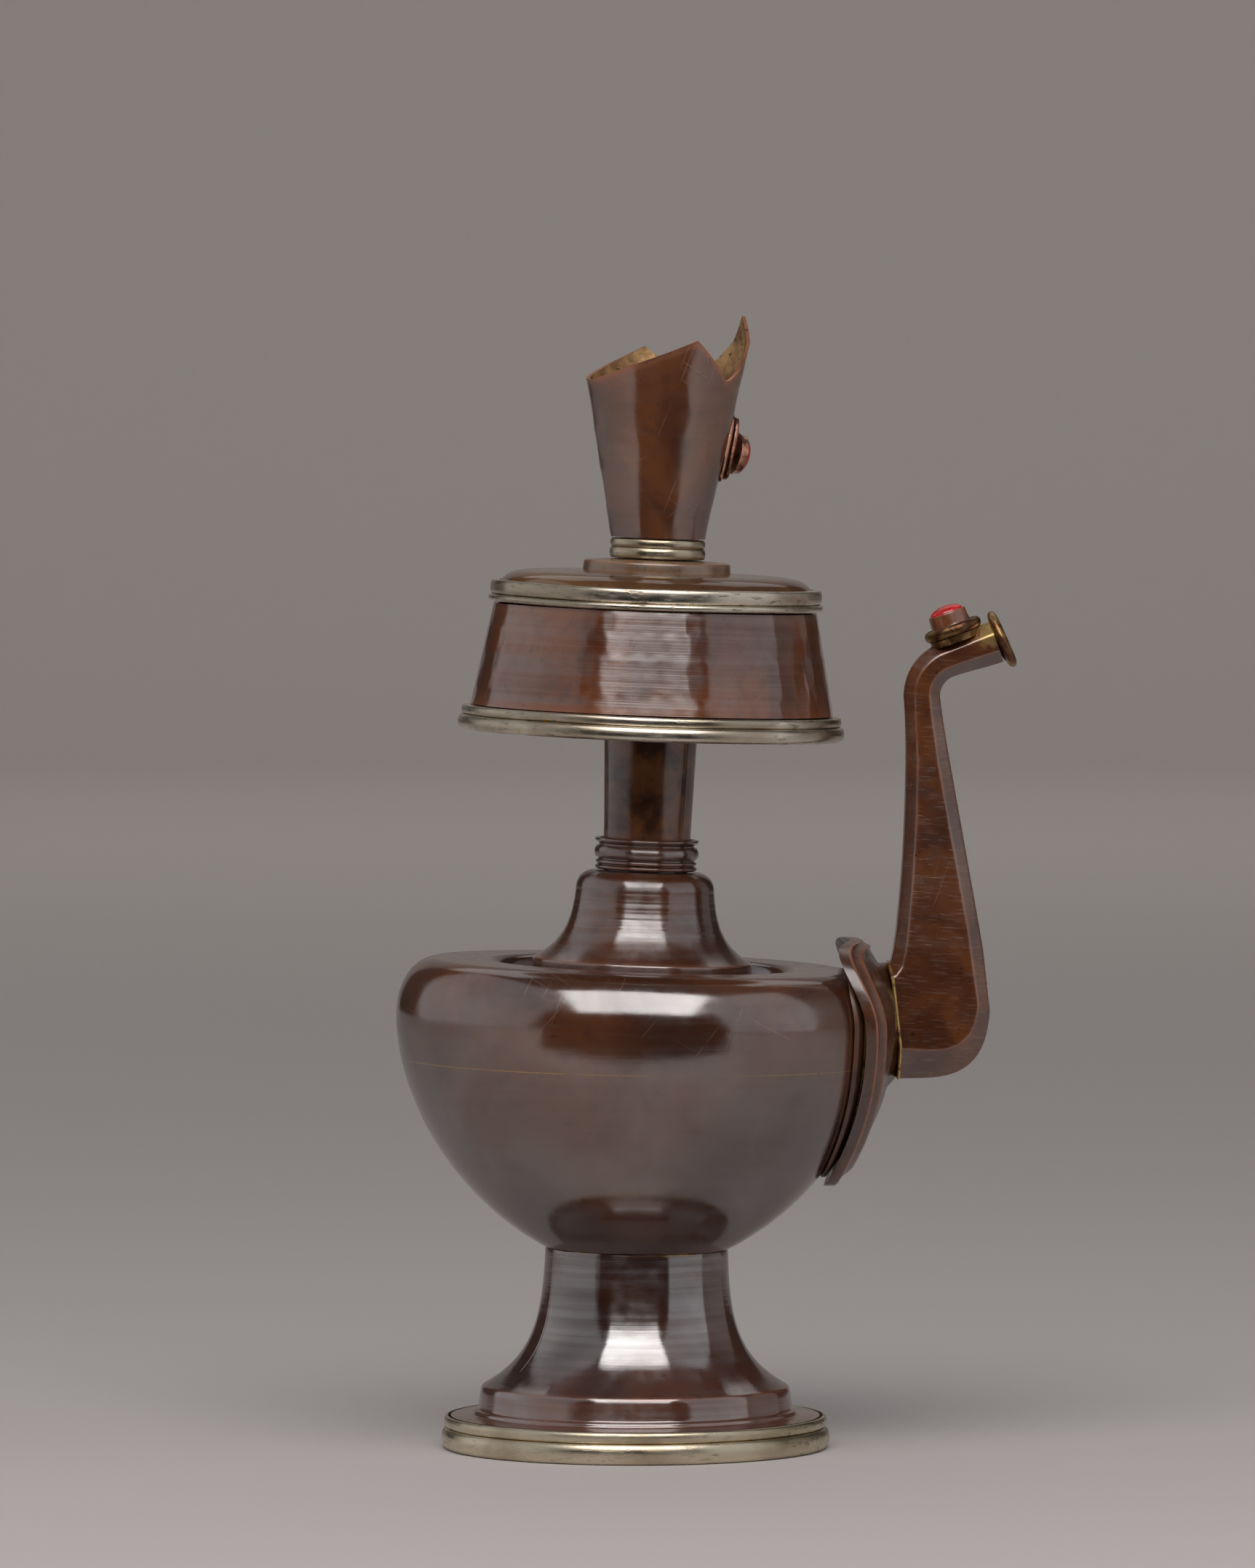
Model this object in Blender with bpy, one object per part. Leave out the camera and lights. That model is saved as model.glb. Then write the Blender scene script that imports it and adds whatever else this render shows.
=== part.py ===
"""Ritual offering vase of raised copper, with a lift-out neck, a drum-shaped canopy and a spout.

Metres, +Z up. The origin is the middle of the base, on the surface that the vase stands on.
The spout points to +X. The stack leans a little towards +X, as the hand-made piece does: a
spine gives the middle and the lean of every level of the vessel.
"""

import math

import bmesh
import bpy
from mathutils import Matrix

# Fits, sheet and facets
CLEARANCE = 0.0003
SHEET = 0.0009
LARGE_SEGMENTS = 30
SMALL_SEGMENTS = 22
SWEEP_POINTS = 7
BEAD_POINTS = 3
LEAF_POINTS = 14
SOLVE_ROUNDS = 8
SWEEP_SPACING = 1.6

# Lean of the body and of the neck, and the turn of the neck in its socket, in degrees
BODY_LEAN = 0.9
NECK_LEAN = 2.1
NECK_TURN = 18.5

# Base and foot
FOOT_TOP_RADIUS = 0.0212
FOOT_SWEEP_WIDTH = 0.0151
FOOT_SWEEP_HEIGHT = 0.0314
FOOT_SWEEP_DECAY = 0.0080
PLINTH_HEIGHT = 0.0059
FOOT_FLANGE_WIDTH = 0.0070
FOOT_FLANGE_RISE = 0.0008
BASE_MARGIN = 0.0016
BASE_RING_WIDTH = 0.0038
BASE_BEAD_HEIGHT = 0.0041
BASE_UPPER_BEAD_HEIGHT = 0.0022
BASE_UPPER_BEAD_INSET = 0.0006
BASE_PLATE_THICKNESS = 0.0012

# Socket of the neck, bell and body, from the plug outwards
PLUG_RADIUS = 0.0094
PLUG_DEPTH = 0.0160
COLLAR_WALL = 0.0023
COLLAR_FOOT_HEIGHT = 0.0024
COLLAR_BULGE_HEIGHT = 0.0034
COLLAR_LIP_HEIGHT = 0.0014
COLLAR_GROOVE = 0.0012
COLLAR_LIP_WALL = 0.0008
BELL_TOP_FLAT = 0.0023
BELL_TOP_ROUND = 0.0040
BELL_FLARE_WIDTH = 0.0094
BELL_FLARE_HEIGHT = 0.0167
BELL_FLARE_DECAY = 0.0053
BELL_RIM_HEIGHT = 0.0042
WELL_LEDGE = 0.0045
WELL_GAP = 0.0077
WELL_RIM_ROUND = 0.0030
WELL_DEPTH = 0.0037
SHOULDER_FLAT = 0.0114
SHOULDER_ROUND = 0.0090
SHOULDER_HEIGHT = 0.0123
BOWL_DEPTH = 0.0593
BOWL_SQUARENESS = 1.8
SEAM_DROP = 0.0100
SEAM_HEIGHT = 0.0008

# Lift-out neck: tube and canopy
TUBE_STEP = 0.0006
TUBE_FLARE = 0.0008
CANOPY_RISE = 0.0240
CANOPY_FOOT_RADIUS = 0.0419
CANOPY_TAPER = 0.0045
CANOPY_WALL_HEIGHT = 0.0235
LOWER_RIM_OVERHANG = 0.0028
LOWER_RIM_WIDTH = 0.0038
LOWER_BEAD_HEIGHT = 0.0035
LOWER_UPPER_BEAD_HEIGHT = 0.0021
LOWER_UPPER_BEAD_INSET = 0.0008
CANOPY_FLOOR_RISE = 0.0018
UPPER_RIM_OVERHANG = 0.0013
UPPER_RIM_WIDTH = 0.0024
UPPER_BEAD_HEIGHT = 0.0017
UPPER_BAND_HEIGHT = 0.0039
UPPER_BAND_INSET = 0.0004
CANOPY_TOP_RISE = 0.0022
CANOPY_TOP_RECESS = 0.0007

# Funnel and its crown
WASHER_WIDTH = 0.0063
WASHER_HEIGHT = 0.0034
WASHER_LIP = 0.0013
WASHER_GROOVE = 0.0010
FUNNEL_COLLAR_HEIGHT = 0.0045
FUNNEL_COLLAR_PROUD = 0.0003
FUNNEL_SHEET = 0.0008
FUNNEL_FLARE = 0.0067
FUNNEL_NOTCH_HEIGHT = 0.0350
CROWN_NOTCH_ANGLE = 55.0
CROWN_PETAL_ANGLE = 86.0
CROWN_PETAL_RISE = 0.0092
CROWN_VALLEY_RISE = 0.0021
CROWN_SPIKE_RISE = 0.0152
CROWN_SPIKE_CURL = 0.0016
CROWN_HOLLOW = 1.3
CROWN_STEP = 5.0

# Spout flanges and socket: stands are distances off the body along X
LEAF_HALF_WIDTH = 0.0290
LEAF_BELOW_SOCKET = 0.0232
LEAF_ABOVE_SOCKET = 0.0017
LEAF_OVERLAP_BELOW = 0.0020
LEAF_OVERLAP_ABOVE = 0.0055
FLANGE_SEAT = 0.0004
REAR_FLANGE_THICKNESS = 0.0010
FLANGE_BRAZE = 0.0007
SOCKET_RIM = 0.0020
SOCKET_RIM_LIFT = 0.0009
SOCKET_FACE = 0.0021
SOCKET_ROOT = 0.0013
SOCKET_LENGTH = 0.0011
SOCKET_DROP = 0.0016
SOCKET_HEIGHT = 0.0246
SOCKET_DEPTH = 0.0170
SPOUT_HOLE_RADIUS = 0.0050

# Form of a leaf outline: how far its widest part lies from the tip, and how square it is
LEAF_REACH = 2.3
LEAF_FULLNESS = 0.19

# Shares of the way from a leaf's edge to its bore
RING_SHARES = (0.0, 0.25, 0.5, 0.75, 1.0)
SOCKET_RIM_SHARE = 0.06
SOCKET_FACE_SHARE = 0.32
SOCKET_ROOT_SHARE = 0.60

# Spout
SPOUT_WALL = 0.0022
SPOUT_BRAZE = 0.0010
SPOUT_BRAZE_PROUD = 0.0003
SPOUT_CHAMFER = 0.24
SPOUT_HEEL_REACH = 0.0190
SPOUT_HEEL_SQUARENESS = 3.5
SPOUT_HEEL_ANGLES = (90, 70, 52, 36, 22, 10)
SPOUT_THROAT_OVERHANG = 0.0030
SPOUT_THROAT_RISE = 0.0028
SPOUT_STEM_START = 0.0050
SPOUT_STEM_LENGTH = 0.0586
SPOUT_STEM_OFFSET = 0.0069
SPOUT_STEM_DRIFT = 0.0038
SPOUT_STEM_WIDTH = 0.0207
SPOUT_STEM_DEPTH = 0.0160
SPOUT_STEM_STATIONS = 7
SPOUT_STEM_TAPER = 1.5
SPOUT_TIP_WIDTH = 0.0090
SPOUT_TIP_WALL = 0.0012
SPOUT_CROOK_RADIUS = 0.0090
SPOUT_CROOK_STATIONS = 5
SPOUT_PITCH = 20.0
LIP_FLANGE = 0.0025
LIP_THICKNESS = 0.0016
LIP_GAP = 0.0017

# Stone settings
BEZEL_RADIUS = 0.0046
BEZEL_HEIGHT = 0.0022
BEZEL_WALL = 0.0005
SPOUT_SEAT_MARGIN = 0.0022
SPOUT_SEAT_THICKNESS = 0.0015
SPOUT_SEAT_PLACE = 0.0035
SPOUT_STONE_DOME = 0.0021
FUNNEL_STONE_DOME = 0.0008
FUNNEL_SETTING_HEIGHT = 0.0206
FUNNEL_LEAF_LENGTH = 0.0146
FUNNEL_LEAF_MARGIN = 0.0010
FUNNEL_PLATE_THICKNESS = 0.0013
FUNNEL_PLATE_INSET = 0.0009
FUNNEL_PLATE_CROWN = 0.3

# Finishes: base colour, metallic, roughness
COPPER = ((0.10, 0.045, 0.03), 1.0, 0.30)
WHITE_METAL = ((0.56, 0.52, 0.42), 1.0, 0.30)
BRASS = ((0.50, 0.34, 0.14), 1.0, 0.35)
CORAL = ((0.55, 0.02, 0.02), 0.0, 0.25)

# Radii that follow from the sizes above
PLINTH_RADIUS = FOOT_TOP_RADIUS + FOOT_SWEEP_WIDTH
FOOT_FLANGE_RADIUS = PLINTH_RADIUS + FOOT_FLANGE_WIDTH
BASE_RADIUS = FOOT_FLANGE_RADIUS + BASE_MARGIN
PLUG_BORE_RADIUS = PLUG_RADIUS + CLEARANCE
COLLAR_RADIUS = PLUG_BORE_RADIUS + COLLAR_WALL
BELL_TOP_RADIUS = PLUG_BORE_RADIUS + BELL_TOP_FLAT
BELL_WAIST_RADIUS = BELL_TOP_RADIUS + BELL_TOP_ROUND
BELL_FLANGE_RADIUS = BELL_WAIST_RADIUS + BELL_FLARE_WIDTH
WELL_HOLE_RADIUS = BELL_FLANGE_RADIUS - SHEET - WELL_LEDGE
WELL_RADIUS = BELL_FLANGE_RADIUS + WELL_GAP
SHOULDER_RADIUS = WELL_RADIUS + WELL_RIM_ROUND + SHOULDER_FLAT
BELLY_RADIUS = SHOULDER_RADIUS + SHOULDER_ROUND
TUBE_FOOT_RADIUS = PLUG_RADIUS + TUBE_STEP
TUBE_RADIUS = TUBE_FOOT_RADIUS + TUBE_FLARE
TUBE_BORE_RADIUS = TUBE_RADIUS - SHEET
LOWER_RIM_RADIUS = CANOPY_FOOT_RADIUS + LOWER_RIM_OVERHANG
CANOPY_TOP_RADIUS = CANOPY_FOOT_RADIUS - CANOPY_TAPER
UPPER_RIM_RADIUS = CANOPY_TOP_RADIUS + UPPER_RIM_OVERHANG
WASHER_RADIUS = TUBE_RADIUS + WASHER_WIDTH
FUNNEL_NOTCH_RADIUS = TUBE_RADIUS + FUNNEL_FLARE
SPOUT_SEAT_RADIUS = BEZEL_RADIUS + SPOUT_SEAT_MARGIN
SPOUT_RUN = SPOUT_SEAT_PLACE + SPOUT_SEAT_RADIUS + LIP_GAP
LIP_RADIUS = SPOUT_TIP_WIDTH / 2 + LIP_FLANGE
LIP_BORE_RADIUS = SPOUT_TIP_WIDTH / 2 - SPOUT_TIP_WALL

# Levels of the vessel, from the base upwards
Z_FOOT = BASE_BEAD_HEIGHT + BASE_UPPER_BEAD_HEIGHT + CLEARANCE
Z_PLINTH = Z_FOOT + SHEET + FOOT_FLANGE_RISE
Z_SWEEP = Z_PLINTH + PLINTH_HEIGHT
Z_FOOT_TOP = Z_SWEEP + FOOT_SWEEP_HEIGHT
SEAT_SHARE = (FOOT_TOP_RADIUS - SHEET) / BELLY_RADIUS
SEAT_DEPTH = BOWL_DEPTH * (1 - SEAT_SHARE**BOWL_SQUARENESS) ** (1 / BOWL_SQUARENESS)
Z_BELLY = Z_FOOT_TOP + CLEARANCE + SEAT_DEPTH
Z_SEAM = Z_BELLY - SEAM_DROP
Z_SHOULDER = Z_BELLY + SHOULDER_HEIGHT
Z_WELL = Z_SHOULDER - WELL_DEPTH
Z_BELL = Z_WELL + CLEARANCE
Z_BELL_RIM = Z_BELL + BELL_RIM_HEIGHT
Z_BELL_TOP = Z_BELL_RIM + BELL_FLARE_HEIGHT + BELL_TOP_ROUND
Z_COLLAR = Z_BELL_TOP + CLEARANCE
Z_COLLAR_LIP = Z_COLLAR + COLLAR_FOOT_HEIGHT + COLLAR_BULGE_HEIGHT
Z_NECK = Z_COLLAR_LIP + COLLAR_LIP_HEIGHT
Z_SOCKET = Z_BELLY - SOCKET_DROP

# Levels of the lift-out neck, from the top of the collar upwards
TUBE_SEAT = CLEARANCE - COLLAR_LIP_HEIGHT
LOWER_RIM_TOP = CANOPY_RISE + LOWER_BEAD_HEIGHT + LOWER_UPPER_BEAD_HEIGHT
WALL_FOOT = LOWER_RIM_TOP + CLEARANCE
WALL_TOP = WALL_FOOT + CANOPY_WALL_HEIGHT
UPPER_RIM_FOOT = WALL_TOP + CLEARANCE
UPPER_RIM_TOP = UPPER_RIM_FOOT + UPPER_BEAD_HEIGHT + UPPER_BAND_HEIGHT
CANOPY_TOP_EDGE = UPPER_RIM_TOP - CANOPY_TOP_RECESS
CANOPY_CROWN = CANOPY_TOP_EDGE + CANOPY_TOP_RISE
WASHER_FOOT = CANOPY_CROWN + CLEARANCE
FUNNEL_COLLAR_FOOT = WASHER_FOOT + WASHER_HEIGHT + CLEARANCE
FUNNEL_FOOT = FUNNEL_COLLAR_FOOT + FUNNEL_COLLAR_HEIGHT + CLEARANCE


def interpolate(start, end, share):
    """The value at a share of the way from start to end."""
    return start + (end - start) * share


def lean(z):
    """Lean of the spine at height z, in radians: level base, leaning body, leaning neck."""
    knots = [
        (Z_FOOT, 0.0),
        (Z_FOOT_TOP, math.radians(BODY_LEAN)),
        (Z_SEAM, math.radians(BODY_LEAN)),
        (Z_WELL, math.radians(NECK_LEAN)),
    ]
    for (low, low_lean), (high, high_lean) in zip(knots, knots[1:]):
        if z <= high:
            return interpolate(low_lean, high_lean, max(z - low, 0.0) / (high - low))
    return knots[-1][1]


def spine(z):
    """X of the middle of the vase at height z: the lean, added up level by level."""
    levels = [Z_FOOT, Z_FOOT_TOP, Z_SEAM, Z_WELL]
    stops = [level for level in levels if level < z] + [z]
    return sum((lean(low) + lean(high)) / 2 * (high - low) for low, high in zip(stops, stops[1:]))


def body_radius(z):
    """Outer radius of the bowl and shoulder; over the belly it falls as the shoulder starts to."""
    if z > Z_BELLY:
        return BELLY_RADIUS - (z - Z_BELLY) ** 2 * SHOULDER_ROUND / (2 * SHOULDER_HEIGHT**2)
    share = max(1 - ((Z_BELLY - z) / BOWL_DEPTH) ** BOWL_SQUARENESS, 0.0)
    return BELLY_RADIUS * share ** (1 / BOWL_SQUARENESS)


def body_side(y, z):
    """X of the body's outer surface on the spout's side, at Y and Z, with the lean."""
    level = z
    for _ in range(SOLVE_ROUNDS):
        reach = math.sqrt(max(body_radius(level) ** 2 - y**2, 0.0))
        level = z + reach * math.sin(lean(level))
    return spine(level) + reach * math.cos(lean(level))


def offset_path(path, distance):
    """The path moved to its right-hand side by distance, with mitred corners."""
    moved = []
    for index, (radius, z) in enumerate(path):
        before = path[max(index - 1, 0)]
        after = path[min(index + 1, len(path) - 1)]
        normals = []
        for start, end in ((before, (radius, z)), ((radius, z), after)):
            run = math.dist(start, end)
            if run > 0:
                normals.append(((end[1] - start[1]) / run, (start[0] - end[0]) / run))
        across = sum(normal[0] for normal in normals)
        along = sum(normal[1] for normal in normals)
        stretch = distance * len(normals) / (across**2 + along**2)
        moved.append((radius + across * stretch, z + along * stretch))
    return moved


def sheet(path, wall):
    """Closed outline of a sheet whose outer face is the path, its metal on the right-hand side."""
    return path + offset_path(path, wall)[::-1]


def bead(root, crest, top, bottom):
    """Half-round bead from its top to its bottom."""
    points = []
    for step in range(BEAD_POINTS + 1):
        angle = math.pi * step / BEAD_POINTS
        height = interpolate(bottom, top, (1 + math.cos(angle)) / 2)
        points.append((interpolate(root, crest, math.sin(angle)), height))
    return points


def flare(foot_radius, top_radius, foot, height, decay):
    """Concave sweep from its top to its foot, widening as an exponential does."""
    points = []
    rest = math.exp(-height / decay)
    for step in range(SWEEP_POINTS, -1, -1):
        rise = height * (step / SWEEP_POINTS) ** SWEEP_SPACING
        share = (math.exp(-rise / decay) - rest) / (1 - rest)
        points.append((interpolate(top_radius, foot_radius, share), foot + rise))
    return points


def quarter_arc(middle, across, up, start, end, steps):
    """Points of an elliptic arc about its middle, from the start angle to the end angle, in degrees."""
    points = []
    for step in range(steps + 1):
        angle = math.radians(interpolate(start, end, step / steps))
        points.append((middle[0] + across * math.cos(angle), middle[1] + up * math.sin(angle)))
    return points


def finish_material(name, finish):
    """Principled material of one sub-part."""
    colour, metallic, roughness = finish
    material = bpy.data.materials.new(name + "_finish")
    material.use_nodes = True
    shader = material.node_tree.nodes["Principled BSDF"]
    shader.inputs["Base Color"].default_value = (*colour, 1.0)
    shader.inputs["Metallic"].default_value = metallic
    shader.inputs["Roughness"].default_value = roughness
    return material


def add_piece(name, shape, finish, parent, placing=None):
    """Turns a bmesh into the named object, with its finish, under its parent empty."""
    bmesh.ops.remove_doubles(shape, verts=shape.verts, dist=1e-7)
    bmesh.ops.recalc_face_normals(shape, faces=shape.faces)
    mesh = bpy.data.meshes.new(name)
    shape.to_mesh(mesh)
    shape.free()
    mesh.shade_smooth()
    mesh.set_sharp_from_angle(angle=math.radians(35))
    mesh.materials.append(finish_material(name, finish))
    piece = bpy.data.objects.new(name, mesh)
    bpy.context.scene.collection.objects.link(piece)
    piece.parent = parent
    if placing is not None:
        piece.matrix_local = placing
    return piece


def turned(name, outline, finish, parent, segments=LARGE_SEGMENTS, placing=None, leaning=False):
    """Spins an outline of (radius, z) points about Z; an outline that starts on the axis stays open."""
    shape = bmesh.new()
    verts = [shape.verts.new((radius, 0.0, z)) for radius, z in outline]
    edges = [shape.edges.new(pair) for pair in zip(verts, verts[1:])]
    if outline[0][0] > 0:
        edges.append(shape.edges.new((verts[-1], verts[0])))
    bmesh.ops.spin(
        shape, geom=verts + edges, axis=(0, 0, 1), cent=(0, 0, 0), angle=math.tau, steps=segments
    )
    bmesh.ops.remove_doubles(shape, verts=shape.verts, dist=1e-6)
    if leaning:
        for vert in shape.verts:
            x, y, z = vert.co
            vert.co = (spine(z) + x * math.cos(lean(z)), y, z - x * math.sin(lean(z)))
    return add_piece(name, shape, finish, parent, placing)


def lofted(name, rings, finish, parent, closed=True, placing=None):
    """Skins rings of points; a closed loft joins its last ring to its first, an open one is capped."""
    shape = bmesh.new()
    loops = [[shape.verts.new(point) for point in ring] for ring in rings]
    pairs = list(zip(loops, loops[1:]))
    if closed:
        pairs.append((loops[-1], loops[0]))
    else:
        shape.faces.new(loops[0])
        shape.faces.new(loops[-1][::-1])
    for near, far in pairs:
        for index in range(len(near)):
            after = (index + 1) % len(near)
            shape.faces.new((near[index], near[after], far[after], far[index]))
    return add_piece(name, shape, finish, parent, placing)


def bead_ring(name, radius, width, foot, lower, upper, inset, parent, leaning=False):
    """White-metal ring of a thick lower bead and a thin upper bead."""
    root = radius - width / 2
    outline = bead(root, radius - inset, foot + lower + upper, foot + lower)
    outline += bead(root, radius, foot + lower, foot)[1:]
    outline += [(radius - width, foot), (radius - width, foot + lower + upper)]
    turned(name, outline, WHITE_METAL, parent, leaning=leaning)


def make_base(vessel):
    """The base ring and the plate that closes it."""
    bead_ring(
        "base_ring", BASE_RADIUS, BASE_RING_WIDTH, 0.0, BASE_BEAD_HEIGHT, BASE_UPPER_BEAD_HEIGHT,
        BASE_UPPER_BEAD_INSET, vessel,
    )
    plate_radius = BASE_RADIUS - BASE_RING_WIDTH - CLEARANCE
    plate = [
        (0.0, BASE_PLATE_THICKNESS), (plate_radius, BASE_PLATE_THICKNESS), (plate_radius, 0.0), (0.0, 0.0)
    ]
    turned("base_plate", plate, COPPER, vessel)


def make_foot(vessel):
    """Flange, plinth and sweep of one sheet."""
    path = flare(PLINTH_RADIUS, FOOT_TOP_RADIUS, Z_SWEEP, FOOT_SWEEP_HEIGHT, FOOT_SWEEP_DECAY)
    path.append((PLINTH_RADIUS, Z_PLINTH))
    path.append((FOOT_FLANGE_RADIUS, Z_FOOT + SHEET))
    turned("foot", sheet(path, SHEET), COPPER, vessel, leaning=True)


def make_body(vessel):
    """Bowl, brazed seam and shoulder, with the hole that feeds the spout."""
    bowl_top = Z_SEAM - SEAM_HEIGHT / 2 - CLEARANCE
    bowl_foot = Z_BELLY - BOWL_DEPTH
    outer = []
    for step in range(SWEEP_POINTS + 1):
        z = interpolate(bowl_foot, bowl_top, (step / SWEEP_POINTS) ** SWEEP_SPACING)
        outer.append((body_radius(z), z))
    inner = [(max(radius, 0.0), z) for radius, z in offset_path(outer[::-1], SHEET)]
    inner[-1] = (0.0, bowl_foot + SHEET)
    turned("bowl", outer + inner, COPPER, vessel, leaning=True)

    seam_low = Z_SEAM - SEAM_HEIGHT / 2
    seam_high = Z_SEAM + SEAM_HEIGHT / 2
    seam = [(body_radius(seam_high), seam_high), (body_radius(seam_low), seam_low)]
    turned("belly_braze_seam", sheet(seam, SHEET), BRASS, vessel, leaning=True)

    well_rim = (WELL_RADIUS + WELL_RIM_ROUND, Z_SHOULDER - WELL_RIM_ROUND)
    path = [(WELL_HOLE_RADIUS, Z_WELL), (WELL_RADIUS, Z_WELL)]
    path += quarter_arc(well_rim, WELL_RIM_ROUND, WELL_RIM_ROUND, 180, 90, BEAD_POINTS)
    corner = (SHOULDER_RADIUS, Z_BELLY)
    path += quarter_arc(corner, SHOULDER_ROUND, SHOULDER_HEIGHT, 90, 0, SWEEP_POINTS)
    foot = seam_high + CLEARANCE
    for share in (0.5, 1.0):
        z = interpolate(Z_BELLY, foot, share)
        path.append((body_radius(z), z))
    shoulder = turned("shoulder", sheet(path, SHEET), COPPER, vessel, leaning=True)
    cut_spout_hole(shoulder, vessel)


def cut_spout_hole(shoulder, vessel):
    """Round hole through the shoulder's wall behind the spout's socket."""
    shape = bmesh.new()
    bmesh.ops.create_cone(
        shape, cap_ends=True, segments=SMALL_SEGMENTS, radius1=SPOUT_HOLE_RADIUS,
        radius2=SPOUT_HOLE_RADIUS, depth=BELLY_RADIUS / 2,
    )
    placing = Matrix.Translation((body_side(0.0, Z_SOCKET), 0.0, Z_SOCKET))
    cutter = add_piece(
        "spout_hole_cutter", shape, COPPER, vessel, placing @ Matrix.Rotation(math.pi / 2, 4, "Y")
    )
    cutter.hide_render = True
    cutter.display_type = "WIRE"
    cut = shoulder.modifiers.new("spout_hole", "BOOLEAN")
    cut.operation = "DIFFERENCE"
    cut.object = cutter


def make_bell(vessel):
    """Turned bell that stands in the well, and the collar on it."""
    shoulder = (BELL_TOP_RADIUS, Z_BELL_TOP - BELL_TOP_ROUND)
    path = [(PLUG_BORE_RADIUS, Z_BELL_TOP)]
    path += quarter_arc(shoulder, BELL_TOP_ROUND, BELL_TOP_ROUND, 90, 0, BEAD_POINTS)
    sweep = flare(
        BELL_FLANGE_RADIUS, BELL_WAIST_RADIUS, Z_BELL_RIM, BELL_FLARE_HEIGHT, BELL_FLARE_DECAY
    )
    path += sweep[1:] + [(BELL_FLANGE_RADIUS, Z_BELL)]
    turned("neck_bell", sheet(path, SHEET), COPPER, vessel, SMALL_SEGMENTS, leaning=True)

    groove = COLLAR_RADIUS - COLLAR_GROOVE
    foot_top = Z_COLLAR + COLLAR_FOOT_HEIGHT
    outline = [(COLLAR_RADIUS, Z_NECK), (groove, Z_COLLAR_LIP)]
    outline += bead(groove, COLLAR_RADIUS, Z_COLLAR_LIP, foot_top)[1:]
    outline += bead(groove, COLLAR_RADIUS, foot_top, Z_COLLAR)[1:]
    outline += [(PLUG_BORE_RADIUS, Z_COLLAR), (PLUG_BORE_RADIUS, Z_COLLAR_LIP)]
    outline.append((COLLAR_RADIUS - COLLAR_LIP_WALL, Z_NECK))
    turned("neck_collar", outline, COPPER, vessel, SMALL_SEGMENTS, leaning=True)


def make_neck(neck):
    """Tube with its plug, and the canopy round it."""
    path = [
        (TUBE_RADIUS, CANOPY_CROWN),
        (TUBE_RADIUS, CANOPY_RISE),
        (TUBE_FOOT_RADIUS, TUBE_SEAT),
        (PLUG_RADIUS, TUBE_SEAT),
        (PLUG_RADIUS, -PLUG_DEPTH),
    ]
    turned("neck_tube", sheet(path, SHEET), COPPER, neck, SMALL_SEGMENTS)

    bead_ring(
        "canopy_lower_rim", LOWER_RIM_RADIUS, LOWER_RIM_WIDTH, CANOPY_RISE, LOWER_BEAD_HEIGHT,
        LOWER_UPPER_BEAD_HEIGHT, LOWER_UPPER_BEAD_INSET, neck,
    )
    tube_hole = TUBE_RADIUS + CLEARANCE
    floor_top = CANOPY_RISE + CANOPY_FLOOR_RISE + SHEET
    floor = [(tube_hole, floor_top), (LOWER_RIM_RADIUS - LOWER_RIM_WIDTH - CLEARANCE, floor_top)]
    turned("canopy_floor", sheet(floor, SHEET), COPPER, neck)

    wall = [(CANOPY_TOP_RADIUS, WALL_TOP), (CANOPY_FOOT_RADIUS, WALL_FOOT)]
    turned("canopy_wall", sheet(wall, SHEET), COPPER, neck)

    root = UPPER_RIM_RADIUS - UPPER_BAND_INSET
    band_foot = UPPER_RIM_FOOT + UPPER_BEAD_HEIGHT
    inside = UPPER_RIM_RADIUS - UPPER_RIM_WIDTH
    rim = bead(root - UPPER_BAND_INSET, root, UPPER_RIM_TOP, band_foot)
    rim += bead(root - UPPER_BAND_INSET, UPPER_RIM_RADIUS, band_foot, UPPER_RIM_FOOT)[1:]
    rim += [(inside, UPPER_RIM_FOOT), (inside, UPPER_RIM_TOP)]
    turned("canopy_upper_rim", rim, WHITE_METAL, neck)

    edge = inside - CLEARANCE
    dome = []
    for share in (0.0, 0.35, 0.7, 1.0):
        height = CANOPY_TOP_RISE * (1 - share**2)
        dome.append((interpolate(tube_hole, edge, share), CANOPY_TOP_EDGE + height))
    turned("canopy_top", sheet(dome, SHEET), COPPER, neck)


def make_funnel_root(neck):
    """Washer and white-metal collar under the funnel."""
    top = WASHER_FOOT + WASHER_HEIGHT
    outline = bead(WASHER_RADIUS - WASHER_LIP / 2, WASHER_RADIUS, top, top - WASHER_LIP)
    outline += [
        (WASHER_RADIUS - WASHER_GROOVE, top - WASHER_LIP),
        (WASHER_RADIUS - WASHER_GROOVE, WASHER_FOOT),
        (TUBE_BORE_RADIUS, WASHER_FOOT),
        (TUBE_BORE_RADIUS, top),
    ]
    turned("funnel_washer", outline, COPPER, neck, SMALL_SEGMENTS)

    crest = TUBE_RADIUS + FUNNEL_COLLAR_PROUD
    top = FUNNEL_COLLAR_FOOT + FUNNEL_COLLAR_HEIGHT
    middle = (top + FUNNEL_COLLAR_FOOT) / 2
    bore = TUBE_RADIUS - FUNNEL_SHEET - CLEARANCE
    outline = bead(TUBE_RADIUS - FUNNEL_COLLAR_PROUD, crest, top, middle)
    outline += bead(TUBE_RADIUS - FUNNEL_COLLAR_PROUD, crest, middle, FUNNEL_COLLAR_FOOT)[1:]
    outline += [(bore, FUNNEL_COLLAR_FOOT), (bore, top)]
    turned("funnel_collar", outline, WHITE_METAL, neck, SMALL_SEGMENTS)


def funnel_radius(height):
    """Outer radius of the funnel's cone at a height over its foot."""
    return interpolate(TUBE_RADIUS, FUNNEL_NOTCH_RADIUS, height / FUNNEL_NOTCH_HEIGHT)


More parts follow.
